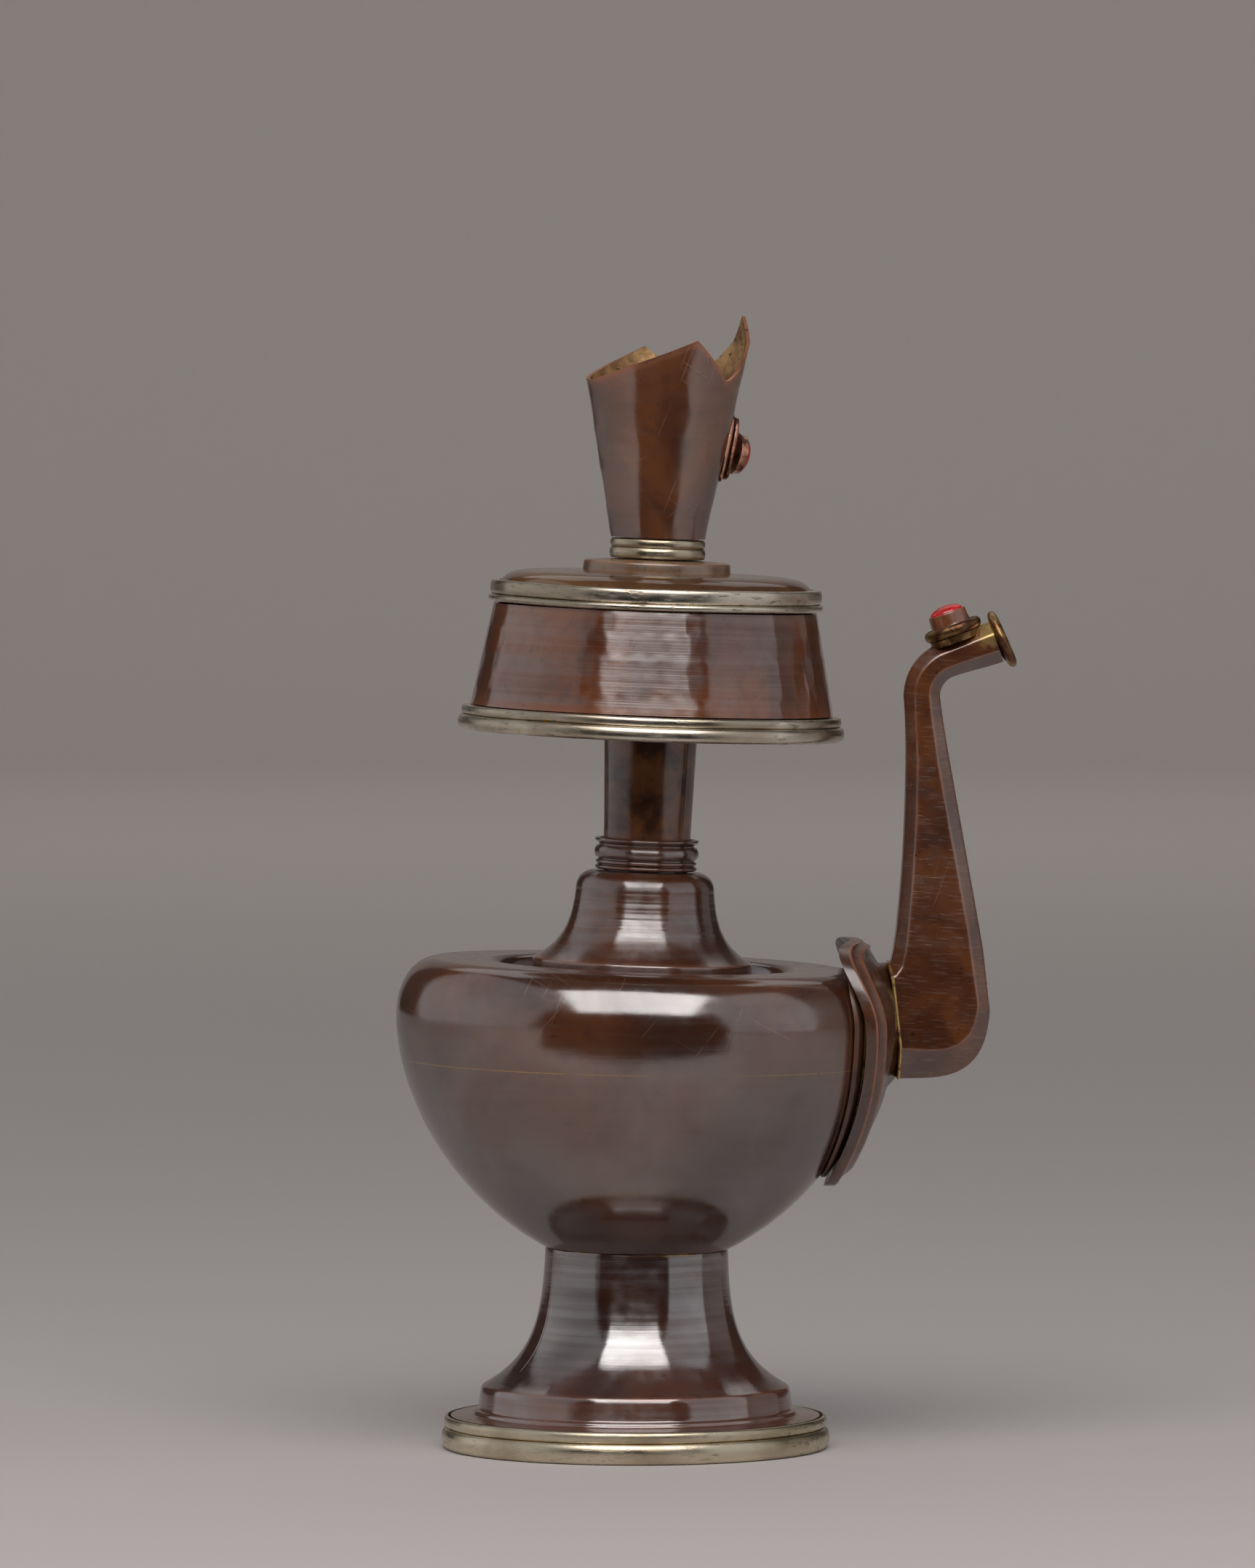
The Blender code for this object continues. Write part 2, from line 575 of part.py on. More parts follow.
def crown_rim():
    """Rim of the crown: (angle in degrees, height over the notches), all the way round."""
    half = []
    stretches = [
        (0.0, CROWN_NOTCH_ANGLE, CROWN_SPIKE_RISE, 0.0, CROWN_HOLLOW),
        (CROWN_NOTCH_ANGLE, CROWN_PETAL_ANGLE, 0.0, CROWN_PETAL_RISE, 1.0),
        (CROWN_PETAL_ANGLE, 180.0, CROWN_PETAL_RISE, CROWN_VALLEY_RISE, CROWN_HOLLOW),
    ]
    for start, end, high, low, hollow in stretches:
        steps = round((end - start) / CROWN_STEP)
        for step in range(steps):
            share = step / steps
            half.append((interpolate(start, end, share), interpolate(low, high, (1 - share) ** hollow)))
    far_side = [(-angle, rise) for angle, rise in half[:0:-1]]
    return half + [(180.0, CROWN_VALLEY_RISE)] + far_side


def make_funnel(neck):
    """Cone of sheet, its rim cut to two petals and a spike whose tip curls in."""
    rim = crown_rim()
    rows = []
    for share in (0.0, 0.85, 1.0):
        outer = []
        inner = []
        for angle, rise in rim:
            height = interpolate(0.0, FUNNEL_NOTCH_HEIGHT, share)
            if share == 1.0:
                height += rise
            curl = CROWN_SPIKE_CURL * max(height - FUNNEL_NOTCH_HEIGHT - CROWN_PETAL_RISE, 0.0)
            radius = funnel_radius(height) - curl / (CROWN_SPIKE_RISE - CROWN_PETAL_RISE)
            turn = math.radians(angle)
            for ring, reach in ((outer, radius), (inner, radius - FUNNEL_SHEET)):
                ring.append((reach * math.cos(turn), reach * math.sin(turn), FUNNEL_FOOT + height))
        rows.append((outer, inner))
    rings = [outer for outer, _ in rows] + [inner for _, inner in rows[::-1]]
    lofted("funnel", rings, COPPER, neck)


def leaf(half_width, tip, crown):
    """Leaf outline as (across, along) points: pointed at its tip, round at its crown."""
    side = []
    for step in range(LEAF_POINTS + 1):
        share = (1 - math.cos(math.pi * step / LEAF_POINTS)) / 2
        swell = max(math.sin(math.pi * share**LEAF_REACH), 0.0) ** LEAF_FULLNESS
        side.append((half_width * swell, interpolate(tip, crown, share)))
    side[0] = (0.0, tip)
    side[-1] = (0.0, crown)
    return side + [(-across, along) for across, along in side[-2:0:-1]]


def oval(half_width, half_height, middle):
    """Oval outline whose points answer those of a leaf, from its foot upwards."""
    points = []
    for step in range(2 * LEAF_POINTS):
        angle = math.pi * step / LEAF_POINTS
        points.append((half_width * math.sin(angle), middle - half_height * math.cos(angle)))
    return points


def between(outer, inner, share):
    """Outline at a share of the way from one outline to another."""
    return [
        (interpolate(a[0], b[0], share), interpolate(a[1], b[1], share)) for a, b in zip(outer, inner)
    ]


def on_body(outline, stand):
    """An outline of (y, z) points laid on the body, standing off it along X."""
    return [(body_side(y, z) + stand, y, z) for y, z in outline]


def make_flanges(vessel):
    """Rear flange on the body, the brass fillet, and the front flange that flares into the socket."""
    foot = Z_SOCKET - SOCKET_HEIGHT / 2 - LEAF_BELOW_SOCKET
    crown = Z_SOCKET + SOCKET_HEIGHT / 2 + LEAF_ABOVE_SOCKET
    bore = oval(SOCKET_DEPTH / 2 - SPOUT_WALL, SOCKET_HEIGHT / 2 - SPOUT_WALL, Z_SOCKET)
    rear_leaf = leaf(LEAF_HALF_WIDTH, foot, crown)
    front_leaf = leaf(LEAF_HALF_WIDTH, foot - LEAF_OVERLAP_BELOW, crown + LEAF_OVERLAP_ABOVE)
    rear_front = FLANGE_SEAT + REAR_FLANGE_THICKNESS
    braze_back = rear_front + CLEARANCE
    braze_front = braze_back + FLANGE_BRAZE
    socket_back = braze_front + CLEARANCE

    rear = []
    for stand, shares in ((FLANGE_SEAT, RING_SHARES), (rear_front, RING_SHARES[::-1])):
        for share in shares:
            rear.append(on_body(between(rear_leaf, bore, share), stand))
    lofted("spout_rear_flange", rear, COPPER, vessel)

    braze = []
    for stand, shares in ((braze_back, RING_SHARES[1:-1]), (braze_front, RING_SHARES[-2:0:-1])):
        for share in shares:
            braze.append(on_body(between(rear_leaf, bore, share), stand))
    lofted("spout_flange_braze", braze, BRASS, vessel)

    rim_back = socket_back + SOCKET_RIM_LIFT
    mouth_x = body_side(0.0, Z_BELLY) + socket_back + SOCKET_LENGTH
    mouth = oval(SOCKET_DEPTH / 2, SOCKET_HEIGHT / 2, Z_SOCKET)
    rim_leaf = between(front_leaf, bore, SOCKET_RIM_SHARE)
    face_leaf = between(front_leaf, bore, SOCKET_FACE_SHARE)
    root_leaf = between(front_leaf, bore, SOCKET_ROOT_SHARE)
    socket = [
        on_body(front_leaf, rim_back + SOCKET_RIM / 2),
        on_body(rim_leaf, rim_back + SOCKET_RIM),
        on_body(face_leaf, socket_back + SOCKET_FACE),
        on_body(root_leaf, socket_back + SOCKET_ROOT),
        [(mouth_x, y, z) for y, z in mouth],
        [(mouth_x, y, z) for y, z in bore],
        on_body(bore, socket_back),
        on_body(root_leaf, socket_back),
        on_body(face_leaf, socket_back),
        on_body(rim_leaf, rim_back),
    ]
    lofted("spout_socket", socket, COPPER, vessel)
    return mouth_x + CLEARANCE


def eight_sided(middle, across, half_width, half_depth):
    """Ring of eight points: a box with its corners cut, across lying in the XZ plane."""
    cut = 2 * SPOUT_CHAMFER * min(half_width, half_depth)
    corners = [(half_width, half_depth - cut), (half_width - cut, half_depth)]
    corners += [(-width, depth) for width, depth in corners[::-1]]
    corners += [(-width, -depth) for width, depth in corners]
    return [
        (middle[0] + across[0] * width, depth, middle[1] + across[1] * width) for width, depth in corners
    ]


def spout_stations(start_x):
    """Stations of the spout from its socket to its lip: middle, across, half width, half depth, wall."""
    stations = []
    throat_z = Z_SOCKET + SOCKET_HEIGHT / 2
    for angle in SPOUT_HEEL_ANGLES:
        turn = math.radians(angle)
        power = 2 / SPOUT_HEEL_SQUARENESS
        outer_x = start_x + SPOUT_HEEL_REACH * abs(math.cos(turn)) ** power
        outer_z = throat_z - SOCKET_HEIGHT * math.sin(turn) ** power
        if angle == 90:
            outer_x = start_x
        share = (90 - angle) / 90
        inner_x = start_x - SPOUT_THROAT_OVERHANG * share
        inner_z = throat_z + SPOUT_THROAT_RISE * share
        depth = interpolate(SOCKET_DEPTH, SPOUT_STEM_DEPTH, share) / 2
        stations.append(station((inner_x, inner_z), (outer_x, outer_z), depth, SPOUT_WALL))
    for step in range(SPOUT_STEM_STATIONS):
        share = step / SPOUT_STEM_STATIONS
        taper = (1 - share) ** SPOUT_STEM_TAPER
        half = interpolate(SPOUT_TIP_WIDTH, SPOUT_STEM_WIDTH, taper) / 2
        depth = interpolate(SPOUT_TIP_WIDTH, SPOUT_STEM_DEPTH, taper) / 2
        middle_x = start_x + SPOUT_STEM_OFFSET - SPOUT_STEM_DRIFT * share**SPOUT_STEM_TAPER
        z = throat_z + SPOUT_STEM_START + SPOUT_STEM_LENGTH * share
        wall = interpolate(SPOUT_TIP_WALL, SPOUT_WALL, taper)
        stations.append(station((middle_x - half, z), (middle_x + half, z), depth, wall))
    tip_half = SPOUT_TIP_WIDTH / 2
    for step in range(SPOUT_CROOK_STATIONS + 1):
        pitch = math.radians(interpolate(90.0, SPOUT_PITCH, step / SPOUT_CROOK_STATIONS))
        middle, across = crook(start_x, pitch)
        stations.append((middle, across, tip_half, tip_half, SPOUT_TIP_WALL))
    stations.append((run_point(start_x, SPOUT_RUN), across, tip_half, tip_half, SPOUT_TIP_WALL))
    return stations


def station(inner, outer, half_depth, wall):
    """A station from its two edge points in the XZ plane."""
    width = math.dist(inner, outer)
    across = ((outer[0] - inner[0]) / width, (outer[1] - inner[1]) / width)
    middle = ((outer[0] + inner[0]) / 2, (outer[1] + inner[1]) / 2)
    return (middle, across, width / 2, half_depth, wall)


def crook(start_x, pitch):
    """Middle and across direction on the spout's crook where it heads at a pitch, in radians."""
    top_x = start_x + SPOUT_STEM_OFFSET - SPOUT_STEM_DRIFT
    top_z = Z_SOCKET + SOCKET_HEIGHT / 2 + SPOUT_STEM_START + SPOUT_STEM_LENGTH
    across = (math.sin(pitch), -math.cos(pitch))
    middle_x = top_x + SPOUT_CROOK_RADIUS * (1 - across[0])
    return (middle_x, top_z - SPOUT_CROOK_RADIUS * across[1]), across


def run_point(start_x, distance):
    """Point on the straight run of the spout's tip, past the crook."""
    pitch = math.radians(SPOUT_PITCH)
    (x, z), _ = crook(start_x, pitch)
    return (x + distance * math.cos(pitch), z + distance * math.sin(pitch))


def make_spout(vessel, socket_x):
    """Brazed joint, hollow swan neck, lip, and the stone's setting on the run."""
    braze_end = socket_x + SPOUT_BRAZE
    start_x = braze_end + CLEARANCE
    stations = spout_stations(start_x)
    _, across, half_width, half_depth, wall = stations[0]
    braze = []
    for x, grow in (
        (socket_x, SPOUT_BRAZE_PROUD), (braze_end, SPOUT_BRAZE_PROUD), (braze_end, -wall), (socket_x, -wall)
    ):
        braze.append(eight_sided((x, Z_SOCKET), across, half_width + grow, half_depth + grow))
    lofted("spout_braze_ring", braze, BRASS, vessel)

    outer = []
    bore = []
    for middle, across, half_width, half_depth, wall in stations:
        outer.append(eight_sided(middle, across, half_width, half_depth))
        bore.append(eight_sided(middle, across, half_width - wall, half_depth - wall))
    lofted("spout", outer + bore[::-1], COPPER, vessel)

    tip_x, tip_z = run_point(start_x, SPOUT_RUN + CLEARANCE)
    heading = math.pi / 2 - math.radians(SPOUT_PITCH)
    placing = Matrix.Translation((tip_x, 0.0, tip_z)) @ Matrix.Rotation(heading, 4, "Y")
    lip = bead(LIP_RADIUS - LIP_THICKNESS / 2, LIP_RADIUS, LIP_THICKNESS, 0.0)
    lip += [(LIP_BORE_RADIUS, 0.0), (LIP_BORE_RADIUS, LIP_THICKNESS)]
    turned("spout_lip", lip, BRASS, vessel, SMALL_SEGMENTS, placing)

    seat_x, seat_z = run_point(start_x, SPOUT_SEAT_PLACE)
    rise = SPOUT_TIP_WIDTH / 2 + CLEARANCE
    pitch = math.radians(SPOUT_PITCH)
    placing = Matrix.Translation((seat_x - rise * math.sin(pitch), 0.0, seat_z + rise * math.cos(pitch)))
    placing = placing @ Matrix.Rotation(-pitch, 4, "Y")
    edge = bead(SPOUT_SEAT_RADIUS - SPOUT_SEAT_THICKNESS / 2, SPOUT_SEAT_RADIUS, SPOUT_SEAT_THICKNESS, 0.0)
    seat = [(0.0, SPOUT_SEAT_THICKNESS)] + edge + [(0.0, 0.0)]
    turned("spout_stone_seat", seat, BRASS, vessel, SMALL_SEGMENTS, placing)
    placing = placing @ Matrix.Translation((0.0, 0.0, SPOUT_SEAT_THICKNESS + CLEARANCE))
    make_stone("spout", vessel, placing, SPOUT_STONE_DOME)


def make_stone(prefix, parent, placing, dome):
    """A bezel cup and the cabochon in it."""
    inside = BEZEL_RADIUS - BEZEL_WALL
    cup = [
        (0.0, BEZEL_WALL), (inside, BEZEL_WALL), (inside, BEZEL_HEIGHT),
        (BEZEL_RADIUS, BEZEL_HEIGHT), (BEZEL_RADIUS, 0.0), (0.0, 0.0),
    ]
    turned(prefix + "_stone_bezel", cup, COPPER, parent, SMALL_SEGMENTS, placing)
    stone_radius = inside - CLEARANCE
    foot = BEZEL_WALL + CLEARANCE
    crown = quarter_arc((0.0, BEZEL_HEIGHT), stone_radius, dome, 90, 0, BEAD_POINTS)
    crown[0] = (0.0, BEZEL_HEIGHT + dome)
    stone = crown + [(stone_radius, foot), (0.0, foot)]
    turned(prefix + "_stone", stone, CORAL, parent, SMALL_SEGMENTS, placing)


def make_funnel_setting(neck):
    """Two leaf plates on the funnel's spike side, with a bezel and its stone."""
    slope = math.atan2(FUNNEL_NOTCH_RADIUS - TUBE_RADIUS, FUNNEL_NOTCH_HEIGHT)
    radius = funnel_radius(FUNNEL_SETTING_HEIGHT)
    placing = Matrix.Translation((radius, 0.0, FUNNEL_FOOT + FUNNEL_SETTING_HEIGHT))
    placing = placing @ Matrix.Rotation(math.pi / 2 + slope, 4, "Y")
    half_length = FUNNEL_LEAF_LENGTH / 2
    half_width = BEZEL_RADIUS + FUNNEL_LEAF_MARGIN
    rise = CLEARANCE
    for name, inset in (("funnel_back_plate", 0.0), ("funnel_front_plate", FUNNEL_PLATE_INSET)):
        plate_leaf = leaf(half_width - inset, -half_length + inset, half_length - inset)
        middle = [
            (FUNNEL_PLATE_CROWN * across, FUNNEL_PLATE_CROWN * along) for across, along in plate_leaf
        ]
        rings = []
        for outline, height in ((middle, 0.0), (plate_leaf, 0.0), (plate_leaf, 0.5), (middle, 1.0)):
            ring = []
            for across, along in outline:
                hollow = across**2 / (2 * radius)
                ring.append((along, across, rise + height * FUNNEL_PLATE_THICKNESS - hollow))
            rings.append(ring)
        lofted(name, rings, COPPER, neck, closed=False, placing=placing)
        rise += FUNNEL_PLATE_THICKNESS + CLEARANCE
    make_stone("funnel", neck, placing @ Matrix.Translation((0.0, 0.0, rise)), FUNNEL_STONE_DOME)


def add_empty(name, placing):
    """Empty that carries the pieces of one body."""
    empty = bpy.data.objects.new(name, None)
    bpy.context.scene.collection.objects.link(empty)
    empty.matrix_world = placing
    return empty


def main():
    for old in list(bpy.data.objects):
        bpy.data.objects.remove(old)
    vessel = add_empty("vessel", Matrix.Identity(4))
    neck_axis = Matrix.Rotation(math.radians(NECK_LEAN), 4, "Y")
    neck_turn = Matrix.Rotation(math.radians(NECK_TURN), 4, "Z")
    neck = add_empty("neck", Matrix.Translation((spine(Z_NECK), 0.0, Z_NECK)) @ neck_axis @ neck_turn)
    make_base(vessel)
    make_foot(vessel)
    make_body(vessel)
    make_bell(vessel)
    socket_x = make_flanges(vessel)
    make_spout(vessel, socket_x)
    make_neck(neck)
    make_funnel_root(neck)
    make_funnel(neck)
    make_funnel_setting(neck)


main()
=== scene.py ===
"""Looks of the ritual offering vase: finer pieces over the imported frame, materials, light and camera.

The frame is in metres, +Z up, with the spout towards +X. Each piece here stands for the CAD node of
the same name, on the same sizes, with rounder forms, hand-made unevenness and worn metal. Its shape
is worked out in millimetres, and lofted() brings it into the frame. Materials, stage, light and
camera are in metres.
"""

import math

import bmesh
import bpy
from mathutils import Matrix, Vector


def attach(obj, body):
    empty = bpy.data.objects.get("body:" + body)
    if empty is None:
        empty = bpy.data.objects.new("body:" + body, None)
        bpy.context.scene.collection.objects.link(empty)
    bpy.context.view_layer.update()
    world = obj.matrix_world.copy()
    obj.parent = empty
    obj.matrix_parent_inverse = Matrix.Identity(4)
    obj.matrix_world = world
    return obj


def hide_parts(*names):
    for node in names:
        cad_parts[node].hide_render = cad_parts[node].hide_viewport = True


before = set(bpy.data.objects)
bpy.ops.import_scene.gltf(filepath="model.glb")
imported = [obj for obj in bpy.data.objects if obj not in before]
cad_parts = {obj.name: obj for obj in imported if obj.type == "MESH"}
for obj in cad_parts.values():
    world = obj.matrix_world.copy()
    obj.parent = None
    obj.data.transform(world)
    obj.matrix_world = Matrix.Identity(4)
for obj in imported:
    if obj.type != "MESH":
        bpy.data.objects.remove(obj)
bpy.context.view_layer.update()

MM = 0.001

# Facets of the looks
SEGMENTS = 160
SMALL_SEGMENTS = 96
DRUM_SEGMENTS = 240
BOWL_STEPS = 90
SEAM_STEPS = 16
DOME_STEPS = 40
CORNER_STEPS = 6
FINE_STEP = 0.7
LEAF_POINTS = 60
SOLVE_ROUNDS = 8
SHARP_ANGLE = 38.0
CREASE_STEP = math.radians(0.35)

# Sizes of the vessel, with the angles of the seams in its sheet
CLEARANCE = 0.3
SHEET = 0.9
BODY_LEAN = math.radians(0.9)
NECK_LEAN = math.radians(2.1)
NECK_TURN = math.radians(18.5)
FOOT_TOP_RADIUS = 21.2
FOOT_SEAM = math.radians(-154.0) % math.tau
SWEEP_HEIGHT = 31.4
SWEEP_DECAY = 8.0
PLINTH_RADIUS = 36.3
FLANGE_EDGE = 42.7
BASE_RADIUS = 44.9
BASE_RING_WIDTH = 3.8
RING_GROOVE = 1.5
PLUG_RADIUS = 9.4
PLUG_BORE_RADIUS = 9.7
PLUG_DEPTH = 16.0
COLLAR_RADIUS = 12.0
BELL_TOP_RADIUS = 12.0
BELL_ROUND = 4.0
BELL_WAIST_RADIUS = 16.0
BELL_FLANGE_RADIUS = 25.4
BELL_HEIGHT = 16.7
BELL_DECAY = 5.3
WELL_HOLE_RADIUS = 20.0
WELL_RADIUS = 33.1
WELL_RIM_ROUND = 3.0
SHOULDER_RADIUS = 47.5
SHOULDER_ROUND = 9.0
SHOULDER_HEIGHT = 12.3
BELLY_RADIUS = 56.5
BOWL_DEPTH = 59.3
BOWL_SQUARENESS = 1.8
BELLY_SEAM_HALF = 0.10

# Levels of the vessel
Z_FOOT = 6.6
Z_PLINTH = 8.3
Z_SWEEP = 14.2
Z_FOOT_TOP = 45.6
SEAT_SHARE = (FOOT_TOP_RADIUS - SHEET) / BELLY_RADIUS
SEAT_DEPTH = BOWL_DEPTH * (1 - SEAT_SHARE**BOWL_SQUARENESS) ** (1 / BOWL_SQUARENESS)
Z_BELLY = Z_FOOT_TOP + CLEARANCE + SEAT_DEPTH
Z_SEAM = Z_BELLY - 10.0
Z_SHOULDER = Z_BELLY + SHOULDER_HEIGHT
Z_WELL = Z_SHOULDER - 3.7
Z_BELL = Z_WELL + CLEARANCE
Z_BELL_RIM = Z_BELL + 4.2
Z_BELL_TOP = Z_BELL_RIM + 20.7
Z_COLLAR = Z_BELL_TOP + CLEARANCE
Z_NECK = Z_COLLAR + 7.2
Z_SOCKET = Z_BELLY - 1.6

# Sizes of the neck, and its levels over the top of the collar
TUBE_FOOT_RADIUS = 10.0
TUBE_RADIUS = 10.8
TUBE_SEAM = math.radians(-55.0) % math.tau
TUBE_TOP = 60.8
CANOPY_FOOT_RADIUS = 41.9
CANOPY_TOP_RADIUS = 37.4
CANOPY_RISE = 24.0
LOWER_RIM_RADIUS = 44.7
LOWER_RIM_WIDTH = 3.8
WALL_FOOT = 29.9
WALL_TOP = 53.4
UPPER_RIM_RADIUS = 38.7
UPPER_RIM_WIDTH = 2.4
UPPER_RIM_FOOT = 53.7
UPPER_RIM_TOP = 58.7
DOME_EDGE = 58.5
DOME_SHOULDER = 0.7
WASHER_RADIUS = 17.1
WASHER_FOOT = 61.7
WASHER_TOP = 64.5
FUNNEL_SHEET = 0.8
FUNNEL_NOTCH_RADIUS = 17.5
FUNNEL_NOTCH_HEIGHT = 35.0
FUNNEL_COLLAR_FOOT = 64.8
FUNNEL_COLLAR_TOP = 69.3
FUNNEL_FOOT = 69.6

# Crown of the funnel: angles in degrees from the spike, heights over the notches
NOTCH_ANGLE = 55.0
NOTCH_HEIGHT = FUNNEL_NOTCH_HEIGHT + 1.6
SPIKE_RISE = 15.2
SPIKE_CURL = 1.6
SPIKE_HOLLOW = 1.5
PETAL_ANGLE = 86.0
FRONT_PETAL_RISE = 9.2
FRONT_HOLLOW = 1.45
BACK_PETAL_RISE = 7.4
BACK_HOLLOW = 2.0
VALLEY_RISE = -0.6
CROWN_STEP = 2.0
FUNNEL_ROWS = 22

# Settings of the two stones
BEZEL_RADIUS = 4.6
BEZEL_WALL = 0.5
PLATE_PLACE = 20.6
PLATE_HALF_LENGTH = 7.3
PLATE_TIP = 1.8
PLATE_MARGIN = 1.0
PLATE_STEP = 0.9
PLATE_THICKNESS = 1.3


def mix(start, end, share):
    """The value at a share of the way from start to end."""
    return start + (end - start) * share


def toward(start, end, share):
    """The point at a share of the way from start to end."""
    return tuple(mix(a, b, share) for a, b in zip(start, end))


def smooth(low, high, value):
    """0 below low, 1 above high, and an eased step between."""
    share = min(max((value - low) / (high - low), 0.0), 1.0)
    return share * share * (3 - 2 * share)


def lean(z):
    """Lean of the vessel's spine at height z, in radians."""
    knots = [(Z_FOOT, 0.0), (Z_FOOT_TOP, BODY_LEAN), (Z_SEAM, BODY_LEAN), (Z_WELL, NECK_LEAN)]
    for (low, low_lean), (high, high_lean) in zip(knots, knots[1:]):
        if z <= high:
            return mix(low_lean, high_lean, max(z - low, 0.0) / (high - low))
    return NECK_LEAN


def spine(z):
    """X of the middle of the vase at height z."""
    stops = [level for level in (Z_FOOT, Z_FOOT_TOP, Z_SEAM, Z_WELL) if level < z] + [z]
    return sum((lean(low) + lean(high)) / 2 * (high - low) for low, high in zip(stops, stops[1:]))


def body_radius(z):
    """Outer radius of the bowl, and of the shoulder near the belly."""
    if z > Z_BELLY:
        return BELLY_RADIUS - (z - Z_BELLY) ** 2 * SHOULDER_ROUND / (2 * SHOULDER_HEIGHT**2)
    share = max(1 - ((Z_BELLY - z) / BOWL_DEPTH) ** BOWL_SQUARENESS, 0.0)
    return BELLY_RADIUS * share ** (1 / BOWL_SQUARENESS)


def body_side(y, z):
    """X of the body's outer surface on the spout's side."""
    level = z
    for _ in range(SOLVE_ROUNDS):
        reach = math.sqrt(max(body_radius(level) ** 2 - y**2, 0.0))
        level = z + reach * math.sin(lean(level))
    return spine(level) + reach * math.cos(lean(level))


def waves(angle, height, seed):
    """Slow unevenness of hand-raised sheet, about -1 to 1, seamless round the axis."""
    total = 0.0
    for lobes, pitch, phase in ((2, 0.031, 0.3), (3, 0.047, 1.9), (5, 0.083, 4.1), (7, 0.120, 2.6)):
        total += math.sin(lobes * angle + pitch * height + phase + seed * lobes) / lobes
    return total / 1.2


def scatter(column, row, seed):
    """Repeatable number from 0 to 1 for a grid cell."""
    value = math.sin(column * 127.1 + row * 311.7 + seed * 74.7) * 43758.5453
    return value - math.floor(value)


def planished(angle, height, columns, size, seed):
    """Squared distance, in cells, to the nearest hammer blow of a jittered grid round the axis."""
    across = angle / math.tau * columns
    along = height / size
    nearest = 9.0
    for row in range(math.floor(along) - 1, math.floor(along) + 2):
        shift = 0.5 * (row % 2)
        for column in range(math.floor(across - shift) - 1, math.floor(across - shift) + 2):
            cell = column % columns
            x = column + shift + 0.5 + 0.45 * (scatter(cell, row, seed) - 0.5)
            y = row + 0.5 + 0.45 * (scatter(cell, row, seed + 1) - 0.5)
            nearest = min(nearest, (across - x) ** 2 + (along - y) ** 2)
    return nearest


def flats(angle, height, columns, size, seed):
    """Squared distance, in cells, from the middle of a hammered flat, in rows shifted like bricks."""
    along = height / size
    row = math.floor(along)
    values = []
    for level in (row, row + 1):
        across = angle / math.tau * columns + scatter(level, 0, seed)
        values.append((across - math.floor(across) - 0.5) ** 2)
    return mix(values[0], values[1], smooth(0.7, 1.0, along - row))


def fillet(corners):
    """Path through corners (radius, z, ease), each corner rounded over its ease length."""
    path = []
    for index, (radius, z, ease) in enumerate(corners):
        corner = (radius, z)
        if ease == 0 or index in (0, len(corners) - 1):
            path.append(corner)
            continue
        ends = []
        for other in (corners[index - 1], corners[index + 1]):
            ends.append(toward(corner, other, min(ease / math.dist(corner, other[:2]), 0.5)))
        for step in range(CORNER_STEPS + 1):
            share = step / CORNER_STEPS
            path.append(toward(toward(ends[0], corner, share), toward(corner, ends[1], share), share))
    return path


def refine(path, step=FINE_STEP):
    """The path with its long stretches cut into short ones."""
    fine = [path[0]]
    for start, end in zip(path, path[1:]):
        count = max(1, math.ceil(math.dist(start, end) / step))
        fine += [toward(start, end, index / count) for index in range(1, count + 1)]
    return fine


def inset(path):
    """The path, turned round and moved by the sheet's thickness to its right, with mitred corners."""
    moved = []
    for index, (radius, z) in enumerate(path):
        before = path[max(index - 1, 0)]
        after = path[min(index + 1, len(path) - 1)]
        normals = []
        for start, end in ((before, (radius, z)), ((radius, z), after)):
            run = math.dist(start, end)
            if run > 0:
                normals.append(((end[1] - start[1]) / run, (start[0] - end[0]) / run))
        across = sum(normal[0] for normal in normals)
        along = sum(normal[1] for normal in normals)
        stretch = SHEET * len(normals) / (across**2 + along**2)
        moved.append((radius + across * stretch, z + along * stretch))
    return moved[::-1]


def bead(root, crest, top, bottom, steps=14, squareness=2.3):
    """Half-round bead from its top to its bottom, a little fuller than a circle."""
    points = []
    for step in range(steps + 1):
        angle = math.pi * step / steps
        up = math.copysign(abs(math.cos(angle)) ** (2 / squareness), math.cos(angle))
        out = max(math.sin(angle), 0.0) ** (2 / squareness)
        points.append((mix(root, crest, out), mix(bottom, top, (1 + up) / 2)))
    return points


def flare(foot_radius, top_radius, foot, height, decay, steps=48):
    """Concave sweep from its top to its foot, widening as an exponential does."""
    points = []
    rest = math.exp(-height / decay)
    for step in range(steps, -1, -1):
        rise = height * step / steps
        share = (math.exp(-rise / decay) - rest) / (1 - rest)
        points.append((mix(top_radius, foot_radius, share), foot + rise))
    return points


def arc(middle, across, up, start, end, steps):
    """Points of an elliptic arc about its middle, from the start angle to the end angle, in degrees."""
    points = []
    for step in range(steps + 1):
        angle = math.radians(mix(start, end, step / steps))
        points.append((middle[0] + across * math.cos(angle), middle[1] + up * math.sin(angle)))
    return points


NECK_PLACE = (
    Matrix.Translation((spine(Z_NECK), 0.0, Z_NECK))
    @ Matrix.Rotation(NECK_LEAN, 4, "Y")
    @ Matrix.Rotation(NECK_TURN, 4, "Z")
)


def skin(shape, loops, closed):
    """Faces between rings of vertices; a ring of one vertex is a point on the axis."""
    pairs = list(zip(loops, loops[1:]))
    if closed:
        pairs.append((loops[-1], loops[0]))
    for near, far in pairs:
        count = max(len(near), len(far))
        for index in range(count):
            after = (index + 1) % count
            corners = [near[index % len(near)], near[after % len(near)]]
            corners += [far[after % len(far)], far[index % len(far)]]
            corners = [corner for place, corner in enumerate(corners) if corner not in corners[:place]]
            if len(corners) > 2:
                shape.faces.new(corners)


